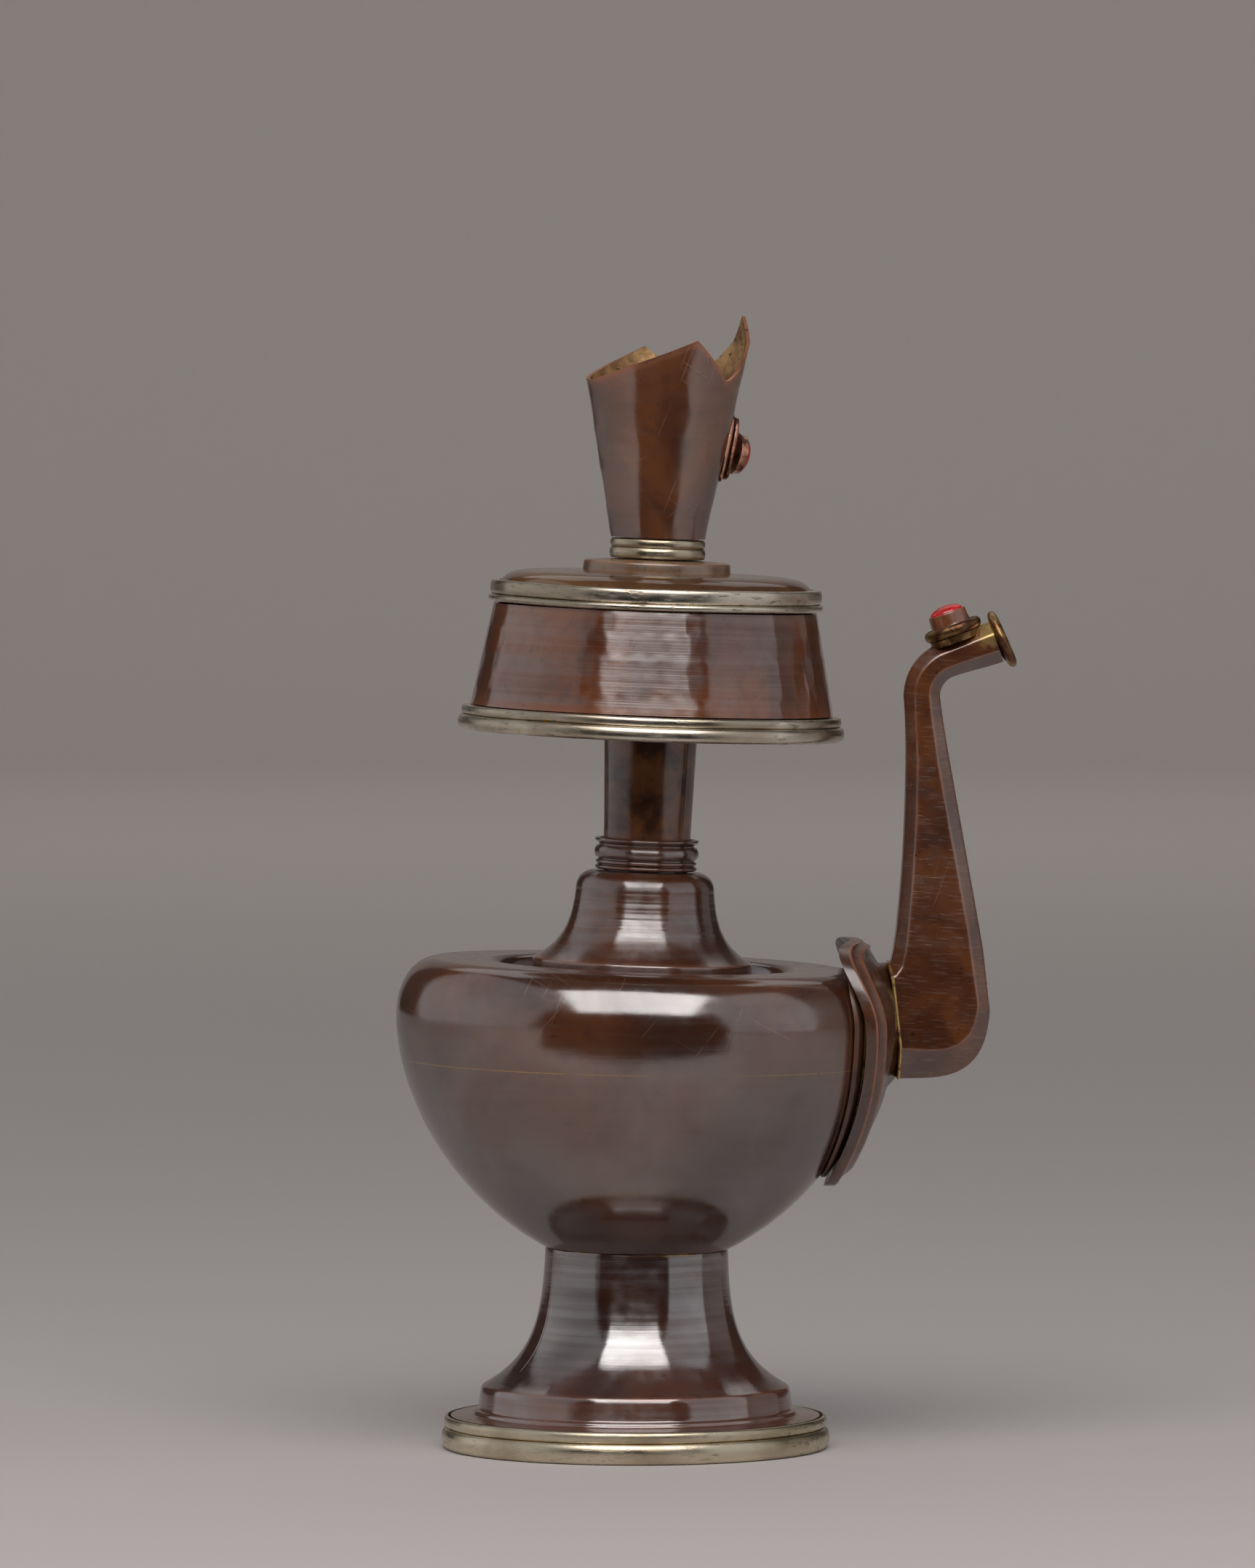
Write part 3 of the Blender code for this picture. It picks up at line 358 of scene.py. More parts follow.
def smooth_mesh(name, shape, material):
    """Mesh of a finished bmesh, with its faces turned outwards and shaded smooth."""
    bmesh.ops.recalc_face_normals(shape, faces=shape.faces)
    mesh = bpy.data.meshes.new(name)
    shape.to_mesh(mesh)
    shape.free()
    mesh.shade_smooth()
    mesh.materials.append(material)
    return mesh


def add_object(name, data):
    """New object of the scene with the given data."""
    thing = bpy.data.objects.new(name, data)
    bpy.context.scene.collection.objects.link(thing)
    return thing


def nowhere(*place):
    """Wear or solder of a piece that has none."""
    return 0.0


def unmoved(angle, radius, z):
    """Form of a piece that keeps its outline."""
    return 0.0, 0.0


def lofted(
    name, rings, material, body="vessel", closed=True, placing=None, wear=nowhere,
    solder=nowhere, sharp=SHARP_ANGLE
):
    """Skins rings of points, in millimetres, into the piece that stands for the CAD node of that name.

    An open loft gets a fan at each end that isn't a point. Wear and solder, from 0 to 1, say where
    the metal is rubbed or brazed.
    """
    shape = bmesh.new()
    rubbed = shape.verts.layers.float.new("wear")
    brazed = shape.verts.layers.float.new("solder")
    loops = []
    for row, ring in enumerate(rings):
        loop = [shape.verts.new([MM * value for value in point]) for point in ring]
        for column, vert in enumerate(loop):
            vert[rubbed] = wear(row, column)
            vert[brazed] = solder(row, column)
        loops.append(loop)
    for place, end in ((0, loops[0]), (len(loops) + 1, loops[-1])):
        if not closed and len(end) > 1:
            centre = sum((vert.co for vert in end), Vector()) / len(end)
            loops.insert(place, [shape.verts.new(centre)])
    skin(shape, loops, closed)
    mesh = smooth_mesh(name + "_looks", shape, material)
    mesh.set_sharp_from_angle(angle=math.radians(sharp))
    piece = add_object(name + "_looks", mesh)
    if placing is None:
        placing = NECK_PLACE if body == "neck" else Matrix.Identity(4)
    piece.matrix_world = Matrix.Translation(MM * placing.translation) @ placing.to_3x3().to_4x4()
    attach(piece, body)
    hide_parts(name)
    return piece


def turned(
    name, outline, material, body="vessel", segments=SEGMENTS, placing=None, form=unmoved,
    wear=nowhere, solder=nowhere, crease=None
):
    """Spins an outline about the axis; form moves its points out and up, and a crease has closer columns."""
    leaning = body == "vessel" and placing is None
    angles = [math.tau * index / segments for index in range(segments)]
    if crease is not None:
        angles = sorted(angles + [(crease + shift * CREASE_STEP) % math.tau for shift in range(-3, 4)])
    rings = []
    for radius, z in outline:
        ring = []
        for angle in angles if radius > 0 else angles[:1]:
            out, up = form(angle, radius, z) if radius > 0 else (0.0, 0.0)
            height = z + up
            x = (radius + out) * math.cos(angle)
            y = (radius + out) * math.sin(angle)
            if leaning:
                tilt = lean(height)
                ring.append((spine(height) + x * math.cos(tilt), y, height - x * math.sin(tilt)))
            else:
                ring.append((x, y, height))
        rings.append(ring)

    def at_points(amount):
        return lambda row, column: amount(angles[column], *outline[row])

    closed = outline[0][0] > 0
    return lofted(name, rings, material, body, closed, placing, at_points(wear), at_points(solder))


class Graph:
    """Node material, built step by step; each method gives back the output that it makes."""

    def __init__(self, name):
        self.material = bpy.data.materials.new(name)
        self.material.use_nodes = True
        self.nodes = self.material.node_tree.nodes
        self.links = self.material.node_tree.links
        self.shader = self.nodes["Principled BSDF"]
        self.place = self.nodes.new("ShaderNodeTexCoord").outputs["Object"]

    def put(self, socket, value):
        """Links an output to the socket, or sets the socket's own value."""
        if isinstance(value, bpy.types.NodeSocket):
            self.links.new(value, socket)
        else:
            socket.default_value = (*value, 1.0) if socket.type == "RGBA" else value

    def node(self, kind, output, inputs, **settings):
        """New node with its settings and its inputs."""
        node = self.nodes.new("ShaderNode" + kind)
        for name, value in settings.items():
            setattr(node, name, value)
        for name, value in inputs.items():
            self.put(node.inputs[name], value)
        return node.outputs[output]

    def noise(self, scale, detail=3.0, turn=(0.0, 0.0, 0.0), warp=0.0):
        """Noise of so many waves a metre along each axis, turned by the given angles."""
        scales = scale if isinstance(scale, tuple) else (scale, scale, scale)
        lengths = [1 / value for value in scales]
        frame_inputs = {"Vector": self.place, "Rotation": turn, "Scale": lengths}
        place = self.node("Mapping", "Vector", frame_inputs, vector_type="TEXTURE")
        noise_inputs = {"Vector": place, "Scale": 1.0, "Detail": detail, "Distortion": warp}
        return self.node("TexNoise", "Fac", noise_inputs)

    def spread(self, value, low, high, to_low=0.0, to_high=1.0):
        """Eased step of a value from low to high."""
        ends = {"Value": value, "From Min": low, "From Max": high, "To Min": to_low, "To Max": to_high}
        return self.node("MapRange", "Result", ends, interpolation_type="SMOOTHSTEP")

    def join(self, operation, first, second):
        """One sum, product or other operation of two values."""
        return self.node("Math", 0, {0: first, 1: second}, operation=operation)

    def blend(self, factor, first, second):
        """Colour at a factor of the way from the first to the second."""
        return self.node("Mix", 2, {0: factor, 6: first, 7: second}, data_type="RGBA")

    def attribute(self, name):
        """A value that the piece's mesh carries at its points."""
        return self.node("Attribute", "Fac", {}, attribute_name=name)

    def bump(self, height, distance, normal=None):
        """Normal that a height in units of distance gives, on top of another normal."""
        inputs = {"Height": height, "Distance": distance}
        if normal is not None:
            inputs["Normal"] = normal
        return self.node("Bump", "Normal", inputs)

    def finish(self, colour, roughness, normal, **sockets):
        """Connects the shader; constants are set on its own sockets."""
        self.put(self.shader.inputs["Base Color"], colour)
        self.put(self.shader.inputs["Roughness"], roughness)
        self.put(self.shader.inputs["Normal"], normal)
        for name, value in sockets.items():
            self.put(self.shader.inputs[name.replace("_", " ")], value)
        return self.material


# A quarter turn of the anisotropy, so that the gloss spreads across the turning lines
ACROSS_THE_LINES = 0.25
BARE_COPPER = (0.50, 0.20, 0.11)
BLOOM = (0.044, 0.035, 0.037)
SCRATCHED = (0.20, 0.11, 0.075)
FILED = (0.165, 0.110, 0.092)
SOOT = (0.010, 0.006, 0.005)
SOLDER = (0.52, 0.34, 0.12)
BRASS_SPOT = (0.60, 0.38, 0.07)
CASTING_PIT = (0.11, 0.088, 0.062)


def copper(
    name, dark, light, lines=0.2, ridges=0.006, scratches=0.3, rough=0.14, patch=38.0, bloom=0.2, filed=0.0,
    ior=2.5, brushed=0.0
):
    """Dark glossy patina on copper, with patches, bloom, turning or file marks, scratches and pits.

    It is bare where the mesh says that it is rubbed, and has solder where the mesh says so.
    """
    graph = Graph(name)
    patches = graph.spread(graph.noise(patch, 4.0, warp=0.6), 0.36, 0.66)
    mottle = graph.noise(310.0, 4.0)
    streak = graph.noise((12.0, 12.0, 560.0), 4.0)
    colour = graph.blend(patches, dark, light)
    veil = graph.spread(graph.noise(24.0, 3.0, turn=(0.4, 0.2, 1.1)), 0.44, 0.70, 0.0, bloom)
    colour = graph.blend(veil, colour, BLOOM)
    colour = graph.blend(graph.spread(mottle, 0.50, 0.74, 0.0, 0.35), colour, SOOT)
    colour = graph.blend(graph.spread(streak, 0.52, 0.76, 0.0, 0.5 * lines), colour, BLOOM)

    marks = 0.0
    for turn in ((0.0, 0.5, 0.0), (0.0, -0.9, 0.3), (0.0, 1.9, -0.2)):
        line = graph.noise((34.0, 34.0, 2600.0), 1.0, turn=turn)
        marks = graph.join("MAXIMUM", marks, graph.spread(line, 0.70, 0.76))
    where = graph.spread(graph.noise(55.0, 2.0, turn=(1.2, 0.3, 0.0)), 0.50, 0.62, 0.0, scratches)
    marks = graph.join("MULTIPLY", marks, where)
    colour = graph.blend(marks, colour, SCRATCHED)
    dashes = graph.noise((230.0, 230.0, 2300.0), 1.0, turn=(0.0, 0.06, 0.0))
    dashes = graph.spread(dashes, 0.56, 0.66, 0.0, filed)
    colour = graph.blend(graph.join("MULTIPLY", dashes, 0.5), colour, FILED)

    broken = graph.spread(graph.noise(420.0, 4.0, turn=(0.2, 0.7, 0.0)), 0.20, 0.50)
    rubbed = graph.attribute("wear")
    rubbed = graph.join("MULTIPLY", rubbed, graph.spread(rubbed, 0.0, 1.0, 0.35, 1.0))
    rubbed = graph.join("MULTIPLY", rubbed, broken)
    colour = graph.blend(rubbed, colour, BARE_COPPER)
    solder = graph.join("MULTIPLY", graph.attribute("solder"), graph.spread(mottle, 0.30, 0.48))
    colour = graph.blend(solder, colour, SOLDER)
    pits = graph.spread(graph.noise(900.0, 1.0), 0.72, 0.78, 0.0, 0.75)
    colour = graph.blend(pits, colour, SOOT)

    bare = graph.join("MAXIMUM", rubbed, solder)
    roughness = graph.spread(mottle, 0.25, 0.80, rough, 1.7 * rough)
    roughness = graph.join("ADD", roughness, graph.spread(streak, 0.45, 0.80, 0.0, 0.5 * rough))
    roughness = graph.join("ADD", roughness, graph.join("MULTIPLY", graph.join("ADD", marks, bare), 0.15))
    normal = graph.bump(streak, ridges * MM)
    normal = graph.bump(graph.noise((20.0, 20.0, 2400.0), 2.0), 0.4 * ridges * MM, normal)
    normal = graph.bump(mottle, 0.010 * MM, normal)
    normal = graph.bump(graph.join("SUBTRACT", dashes, marks), 0.017 * MM, normal)
    clouds = graph.noise(30.0, 5.0, turn=(0.9, 0.0, 0.5), warp=0.8)
    sheen = graph.spread(clouds, 0.34, 0.66, 0.38, 0.56)
    sheen = graph.join("ADD", sheen, graph.spread(streak, 0.35, 0.65, -0.1 * lines, 0.1 * lines))
    if brushed:
        round_axis = graph.node("Tangent", "Tangent", {}, direction_type="RADIAL", axis="Z")
        graph.put(graph.shader.inputs["Tangent"], round_axis)
    return graph.finish(
        colour, roughness, normal, Metallic=graph.join("MULTIPLY", bare, 0.9), Specular_IOR_Level=sheen,
        IOR=ior, Anisotropic=brushed, Anisotropic_Rotation=ACROSS_THE_LINES
    )


def white_metal(name, light=(0.70, 0.635, 0.525), dull=(0.44, 0.375, 0.285), pitting=0.6, brass=0.8):
    """Warm white metal: a worn polish over dull patches, dark casting pits and a few brass spots."""
    graph = Graph(name)
    colour = graph.blend(graph.spread(graph.noise(46.0, 4.0, warp=0.5), 0.40, 0.66), light, dull)
    grain = graph.noise((150.0, 150.0, 900.0), 3.0)
    colour = graph.blend(graph.spread(grain, 0.50, 0.75, 0.0, 0.3), colour, dull)
    holes = graph.spread(graph.noise((300.0, 300.0, 1300.0), 3.0), 0.56, 0.67)
    where = graph.spread(graph.noise(38.0, 3.0, turn=(0.0, 0.6, 0.9)), 0.42, 0.60, 0.0, pitting)
    holes = graph.join("MULTIPLY", holes, where)
    spots = graph.spread(graph.noise(95.0, 3.0, turn=(0.7, 0.0, 0.2)), 0.68, 0.72, 0.0, brass)
    colour = graph.blend(spots, colour, BRASS_SPOT)
    colour = graph.blend(holes, colour, CASTING_PIT)
    roughness = graph.spread(grain, 0.30, 0.80, 0.24, 0.40)
    roughness = graph.join("ADD", roughness, graph.join("MULTIPLY", holes, 0.3))
    normal = graph.bump(grain, 0.02 * MM, graph.bump(holes, -0.04 * MM))
    return graph.finish(colour, roughness, normal, Metallic=1.0)


def braze(name, light=(0.58, 0.38, 0.13), dark=(0.15, 0.080, 0.035), share=0.55, size=300.0, rough=0.24):
    """Brazing brass, patchy between bright metal and brown patina."""
    graph = Graph(name)
    patches = graph.spread(graph.noise(size, 4.0, warp=0.8), share - 0.12, share + 0.12)
    lumps = graph.noise(700.0, 3.0)
    roughness = graph.spread(lumps, 0.25, 0.80, rough, 2 * rough)
    colour = graph.blend(patches, light, dark)
    return graph.finish(colour, roughness, graph.bump(lumps, 0.10 * MM), Metallic=0.9)


def coral(name):
    """Polished red cabochon, with faint darker clouds and a few pores."""
    graph = Graph(name)
    clouds = graph.spread(graph.noise(420.0, 3.0), 0.40, 0.70)
    colour = graph.blend(clouds, (0.52, 0.014, 0.016), (0.34, 0.007, 0.009))
    pores = graph.spread(graph.noise(1500.0, 1.0), 0.74, 0.80, 0.0, 0.8)
    colour = graph.blend(pores, colour, (0.10, 0.004, 0.004))
    roughness = graph.spread(graph.noise(900.0, 2.0), 0.3, 0.8, 0.12, 0.26)
    normal = graph.bump(pores, -0.04 * MM)
    return graph.finish(colour, roughness, normal, IOR=1.62, Subsurface_Weight=0.08, Subsurface_Scale=0.001)


def raw_inside(name):
    """Unpolished ochre inside of the funnel, speckled with dark scale."""
    graph = Graph(name)
    patches = graph.spread(graph.noise(240.0, 5.0), 0.35, 0.68)
    colour = graph.blend(patches, (0.42, 0.25, 0.11), (0.20, 0.105, 0.045))
    scale = graph.spread(graph.noise((420.0, 420.0, 900.0), 3.0), 0.58, 0.70, 0.0, 0.8)
    colour = graph.blend(scale, colour, (0.045, 0.026, 0.014))
    grain = graph.noise(800.0, 4.0)
    roughness = graph.spread(grain, 0.3, 0.8, 0.42, 0.68)
    return graph.finish(colour, roughness, graph.bump(grain, 0.12 * MM), Metallic=0.55)


BODY_COPPER = copper(
    "patina_body", (0.042, 0.014, 0.007), (0.100, 0.033, 0.012), lines=0.13, ridges=0.007, rough=0.11,
    patch=24.0, bloom=0.4, filed=0.06
)
FOOT_COPPER = copper(
    "patina_foot", (0.030, 0.009, 0.006), (0.066, 0.020, 0.010), lines=0.8, ridges=0.040, scratches=0.08,
    rough=0.105, ior=3.1, brushed=0.95
)
BELL_COPPER = copper(
    "patina_bell", (0.044, 0.012, 0.005), (0.092, 0.027, 0.009), lines=0.7, ridges=0.036, scratches=0.1,
    rough=0.15, ior=2.6, brushed=0.95
)
DRUM_COPPER = copper(
    "patina_drum", (0.068, 0.018, 0.005), (0.128, 0.037, 0.010), lines=0.85, ridges=0.045, rough=0.13,
    patch=46.0, bloom=0.4, ior=2.25, brushed=0.95
)
TUBE_COPPER = copper(
    "patina_tube", (0.044, 0.015, 0.006), (0.170, 0.062, 0.018), lines=0.4, patch=130.0, ior=2.0
)
PLATE_COPPER = copper(
    "patina_plate", (0.072, 0.031, 0.011), (0.125, 0.056, 0.020), rough=0.10, patch=50.0, ior=2.0
)
WASHER_COPPER = copper(
    "patina_washer", (0.095, 0.050, 0.022), (0.160, 0.090, 0.040), rough=0.20, patch=90.0, ior=2.1
)
FUNNEL_COPPER = copper(
    "patina_funnel", (0.070, 0.020, 0.006), (0.145, 0.044, 0.011), scratches=0.5, patch=55.0, bloom=0.3,
    ior=2.4
)
SPOUT_COPPER = copper(
    "patina_spout", (0.056, 0.016, 0.006), (0.112, 0.035, 0.010), lines=0.0, ridges=0.0, patch=75.0,
    bloom=0.1, filed=0.4, ior=2.2
)
FLANGE_COPPER = copper(
    "patina_flange", (0.038, 0.011, 0.005), (0.080, 0.025, 0.008), lines=0.1, rough=0.20, patch=80.0, ior=2.0
)
REAR_COPPER = copper(
    "patina_rear", (0.030, 0.011, 0.005), (0.058, 0.020, 0.008), rough=0.30, patch=80.0, ior=1.7
)
BEZEL_COPPER = copper(
    "patina_bezel", (0.130, 0.042, 0.016), (0.220, 0.072, 0.028), rough=0.16, patch=160.0, ior=2.1
)
WHITE_METAL = white_metal("white_metal_rims")
COLLAR_METAL = white_metal("white_metal_collar", (0.56, 0.48, 0.36), (0.36, 0.29, 0.20), 0.6, 0.3)
BASE_METAL = white_metal("white_metal_base", (0.68, 0.60, 0.45), (0.46, 0.385, 0.27), 0.55, 0.9)
BRAZE = braze("braze_brass")
SETTING_METAL = braze("bare_setting", (0.62, 0.31, 0.21), (0.19, 0.070, 0.038), 0.55, 280.0, 0.15)
SEAT_METAL = braze("braze_seat", (0.34, 0.20, 0.08), (0.090, 0.038, 0.021), 0.47, 190.0)
LIP_BRASS = braze("braze_lip", (0.42, 0.26, 0.095), (0.14, 0.060, 0.032), 0.52, 150.0)
CORAL = coral("red_cabochon")
RAW_INSIDE = raw_inside("raw_inside")


def uneven(amount, seed, lift=0.0):
    """Form that moves a wall in and out, and up and down by lift, as hand-raised sheet does."""
    def form(angle, radius, z):
        return amount * waves(angle, z, seed), lift * waves(angle, 0.0, seed + 2.0)
    return form


def edge_wear(levels, width, amount, seed):
    """Wear that is strongest at the given levels and fades over a width, unevenly round the axis."""
    def wear(angle, radius, z):
        nearest = min(abs(z - level) for level in levels)
        patchy = 0.7 + 0.3 * waves(angle, z, seed)
        return amount * patchy * (1 - smooth(0.0, width, nearest))
    return wear


def groove(angle, crease, depth):
    """How far a narrow groove at the crease's angle goes in, as a negative number."""
    turn = abs((angle - crease + math.pi) % math.tau - math.pi)
    return -depth * (1 - smooth(0.0, 2 * CREASE_STEP, turn))


def bead_ring(name, metal, radius, width, foot, lower, upper, inset_by, body, lift, seed, rebate=0.0):
    """White-metal ring of a thick lower bead and a thin upper bead."""
    top = foot + lower + upper
    root = radius - RING_GROOVE
    outline = bead(root, radius - inset_by, top, foot + lower)
    outline += bead(root, radius, foot + lower, foot)[1:]
    outline += [(radius - width, foot), (radius - width, top - rebate), (root - 0.3, top - rebate)]

    def form(angle, reach, z):
        rise = (z - foot) / (top - foot)
        out = 0.07 * waves(angle, z, seed) + 0.05 * waves(3 * angle, 0.0, seed + 1.0)
        return out, lift * (0.35 + 0.65 * rise) * waves(angle, 0.0, seed)

    turned(name, outline, metal, body, form=form)


def make_base():
    """Base ring and the plate that closes it."""
    bead_ring(
        "base_ring", BASE_METAL, BASE_RADIUS, BASE_RING_WIDTH, 0.0, 4.9, 2.6, 0.6, "vessel", 0.0, 0.7, 1.4
    )
    radius = BASE_RADIUS - BASE_RING_WIDTH - CLEARANCE
    plate = fillet([(0.0, 1.2, 0.0), (radius, 1.2, 0.2), (radius, 0.0, 0.2), (0.0, 0.0, 0.0)])
    turned("base_plate", plate, PLATE_COPPER)


def make_foot():
    """Flange, bead, plinth and sweep, with the seam of the sheet."""
    ledge = PLINTH_RADIUS - 0.5
    step = PLINTH_RADIUS + 1.3
    top = (FOOT_TOP_RADIUS - 0.1, Z_FOOT_TOP + 0.6)
    flange = (FLANGE_EDGE, Z_FOOT + SHEET)
    sweep = flare(ledge, FOOT_TOP_RADIUS, Z_SWEEP, SWEEP_HEIGHT, SWEEP_DECAY)
    corners = [(*point, 0.0) for point in [top] + sweep[:-1]]
    corners += [
        (ledge, Z_SWEEP, 1.7),
        (PLINTH_RADIUS + 0.1, Z_PLINTH + 0.7, 0.5),
        (step - 0.2, Z_PLINTH + 0.6, 0.6),
        (step, Z_PLINTH - 0.4, 0.5),
        (*flange, 0.0),
    ]
    rough = [top] + flare(PLINTH_RADIUS, FOOT_TOP_RADIUS, Z_SWEEP, SWEEP_HEIGHT, SWEEP_DECAY, 16)
    rough += [(PLINTH_RADIUS, Z_PLINTH), flange]

    def form(angle, radius, z):
        out = 0.07 * waves(angle, z, 1.3)
        if z > Z_SWEEP + 4:
            out += groove(angle, FOOT_SEAM, 0.10)
        return out, 0.10 * waves(3 * angle, 0.0, 4.0) if z > Z_FOOT_TOP - 0.2 else 0.0

    edges = edge_wear((Z_SWEEP, Z_PLINTH), 1.0, 0.50, 2.0)
    top_edge = edge_wear((Z_FOOT_TOP + 0.4,), 0.6, 0.6, 5.0)

    def rubbed(angle, radius, z):
        outside = z < Z_SWEEP and radius > PLINTH_RADIUS - SHEET / 2
        low = 0.26 + 0.14 * waves(angle, z, 6.0) if outside else 0.0
        return max(edges(angle, radius, z), top_edge(angle, radius, z), low)

    def brazed(angle, radius, z):
        return smooth(0.1, 0.7, waves(3 * angle, 0.0, 1.0)) * smooth(Z_FOOT_TOP, Z_FOOT_TOP + 0.3, z)

    turned("foot", refine(fillet(corners)) + inset(rough), FOOT_COPPER, form=form, wear=rubbed, solder=brazed,
           crease=FOOT_SEAM)


def make_body():
    """Bowl, brazed seam and shoulder."""
    seam_low = Z_SEAM - BELLY_SEAM_HALF
    seam_high = Z_SEAM + BELLY_SEAM_HALF
    power = 2 / BOWL_SQUARENESS
    last = math.acos(((Z_BELLY - seam_low) / BOWL_DEPTH) ** (1 / power))
    outer = []
    for step in range(BOWL_STEPS + 1):
        turn = last * step / BOWL_STEPS
        outer.append((BELLY_RADIUS * math.sin(turn) ** power, Z_BELLY - BOWL_DEPTH * math.cos(turn) ** power))
    inner = [point for point in inset(outer[::-1])[:0:-1] if point[0] > 0.3]
    inner.append((0.0, Z_BELLY - BOWL_DEPTH + SHEET))

    def form(angle, radius, z):
        fade = smooth(Z_FOOT_TOP, Z_FOOT_TOP + 9, z)
        return fade * (0.06 * waves(angle, z, 0.0) + 0.05 * planished(angle, z, 44, 8.0, 3.0)), 0.0

    def brazed(angle, radius, z):
        return 0.75 * smooth(-0.5, 0.6, waves(angle, 0.0, 2.6))

    turned("bowl", outer + inner, BODY_COPPER, form=form)
    band = [(body_radius(seam_high), seam_high), (body_radius(seam_low), seam_low)]
    turned("belly_braze_seam", band + inset(band), BODY_COPPER, form=form, solder=brazed)

    rim = (WELL_RADIUS + WELL_RIM_ROUND, Z_SHOULDER - WELL_RIM_ROUND)
    path = fillet([(WELL_HOLE_RADIUS, Z_WELL, 0.0), (WELL_RADIUS, Z_WELL, 0.6), (WELL_RADIUS, rim[1], 0.0)])
    path += arc(rim, WELL_RIM_ROUND, WELL_RIM_ROUND, 180, 90, 14)[1:]
    path = refine(path + [(SHOULDER_RADIUS, Z_SHOULDER)], 1.2)
    path += arc((SHOULDER_RADIUS, Z_BELLY), SHOULDER_ROUND, SHOULDER_HEIGHT, 90, 0, 44)[1:]
    for step in range(1, SEAM_STEPS + 1):
        z = mix(Z_BELLY, seam_high, step / SEAM_STEPS)
        path.append((body_radius(z), z))
    turned("shoulder", path + inset(path), BODY_COPPER, form=form)


def make_bell():
    """Turned bell that stands in the well, and the collar on it."""
    paths = []
    for round_steps, sweep_steps in ((16, 64), (5, 16)):
        path = [(PLUG_BORE_RADIUS, Z_BELL_TOP)]
        path += arc((BELL_TOP_RADIUS, Z_BELL_TOP - BELL_ROUND), BELL_ROUND, BELL_ROUND, 90, 0, round_steps)
        path += flare(
            BELL_FLANGE_RADIUS, BELL_WAIST_RADIUS, Z_BELL_RIM, BELL_HEIGHT, BELL_DECAY, sweep_steps
        )[1:]
        paths.append(path)
    fine, rough = paths
    corners = [(*point, 0.0) for point in fine[:-1]]
    corners += [
        (BELL_FLANGE_RADIUS, Z_BELL_RIM, 0.7),
        (BELL_FLANGE_RADIUS - 0.1, Z_BELL + 1.2, 0.8),
        (BELL_FLANGE_RADIUS - 0.6, Z_BELL, 0.0),
    ]
    rough.append((BELL_FLANGE_RADIUS, Z_BELL))

    def form(angle, radius, z):
        turning = math.sin(5.2 * z) + math.sin(8.3 * z + 2.0) + math.sin(3.1 * z + 1.0)
        turning *= smooth(Z_BELL_RIM + 4, Z_BELL_RIM + 8, z) * (1 - smooth(Z_BELL_TOP - 2, Z_BELL_TOP, z))
        return 0.014 * turning + 0.04 * waves(angle, z, 5.0), 0.0

    turned("neck_bell", fillet(corners) + inset(rough), BELL_COPPER, form=form,
           wear=edge_wear((Z_BELL_RIM,), 0.9, 0.45, 1.0))

    root = COLLAR_RADIUS - 1.0
    lip = Z_NECK - 1.4
    outline = fillet([
        (COLLAR_RADIUS - 0.8, Z_NECK, 0.0), (COLLAR_RADIUS - 0.1, Z_NECK, 0.2),
        (COLLAR_RADIUS + 0.1, Z_NECK - 0.5, 0.25), (root, lip + 0.1, 0.3), (root, lip - 0.2, 0.0),
    ])
    for crest, top, foot in (
        (COLLAR_RADIUS + 0.1, lip - 0.2, Z_COLLAR + 2.5),
        (COLLAR_RADIUS - 0.3, Z_COLLAR + 2.3, Z_COLLAR + 1.2),
        (COLLAR_RADIUS - 0.2, Z_COLLAR + 1.1, Z_COLLAR),
    ):
        outline += bead(root, crest, top, foot, 12, 2.0)
    outline += [(PLUG_BORE_RADIUS, Z_COLLAR), (PLUG_BORE_RADIUS, lip)]
    turned("neck_collar", outline, BELL_COPPER, segments=SMALL_SEGMENTS, form=uneven(0.04, 6.0),
           wear=edge_wear((Z_NECK, Z_COLLAR + 1.7, Z_COLLAR + 0.5), 0.5, 0.4, 3.0))


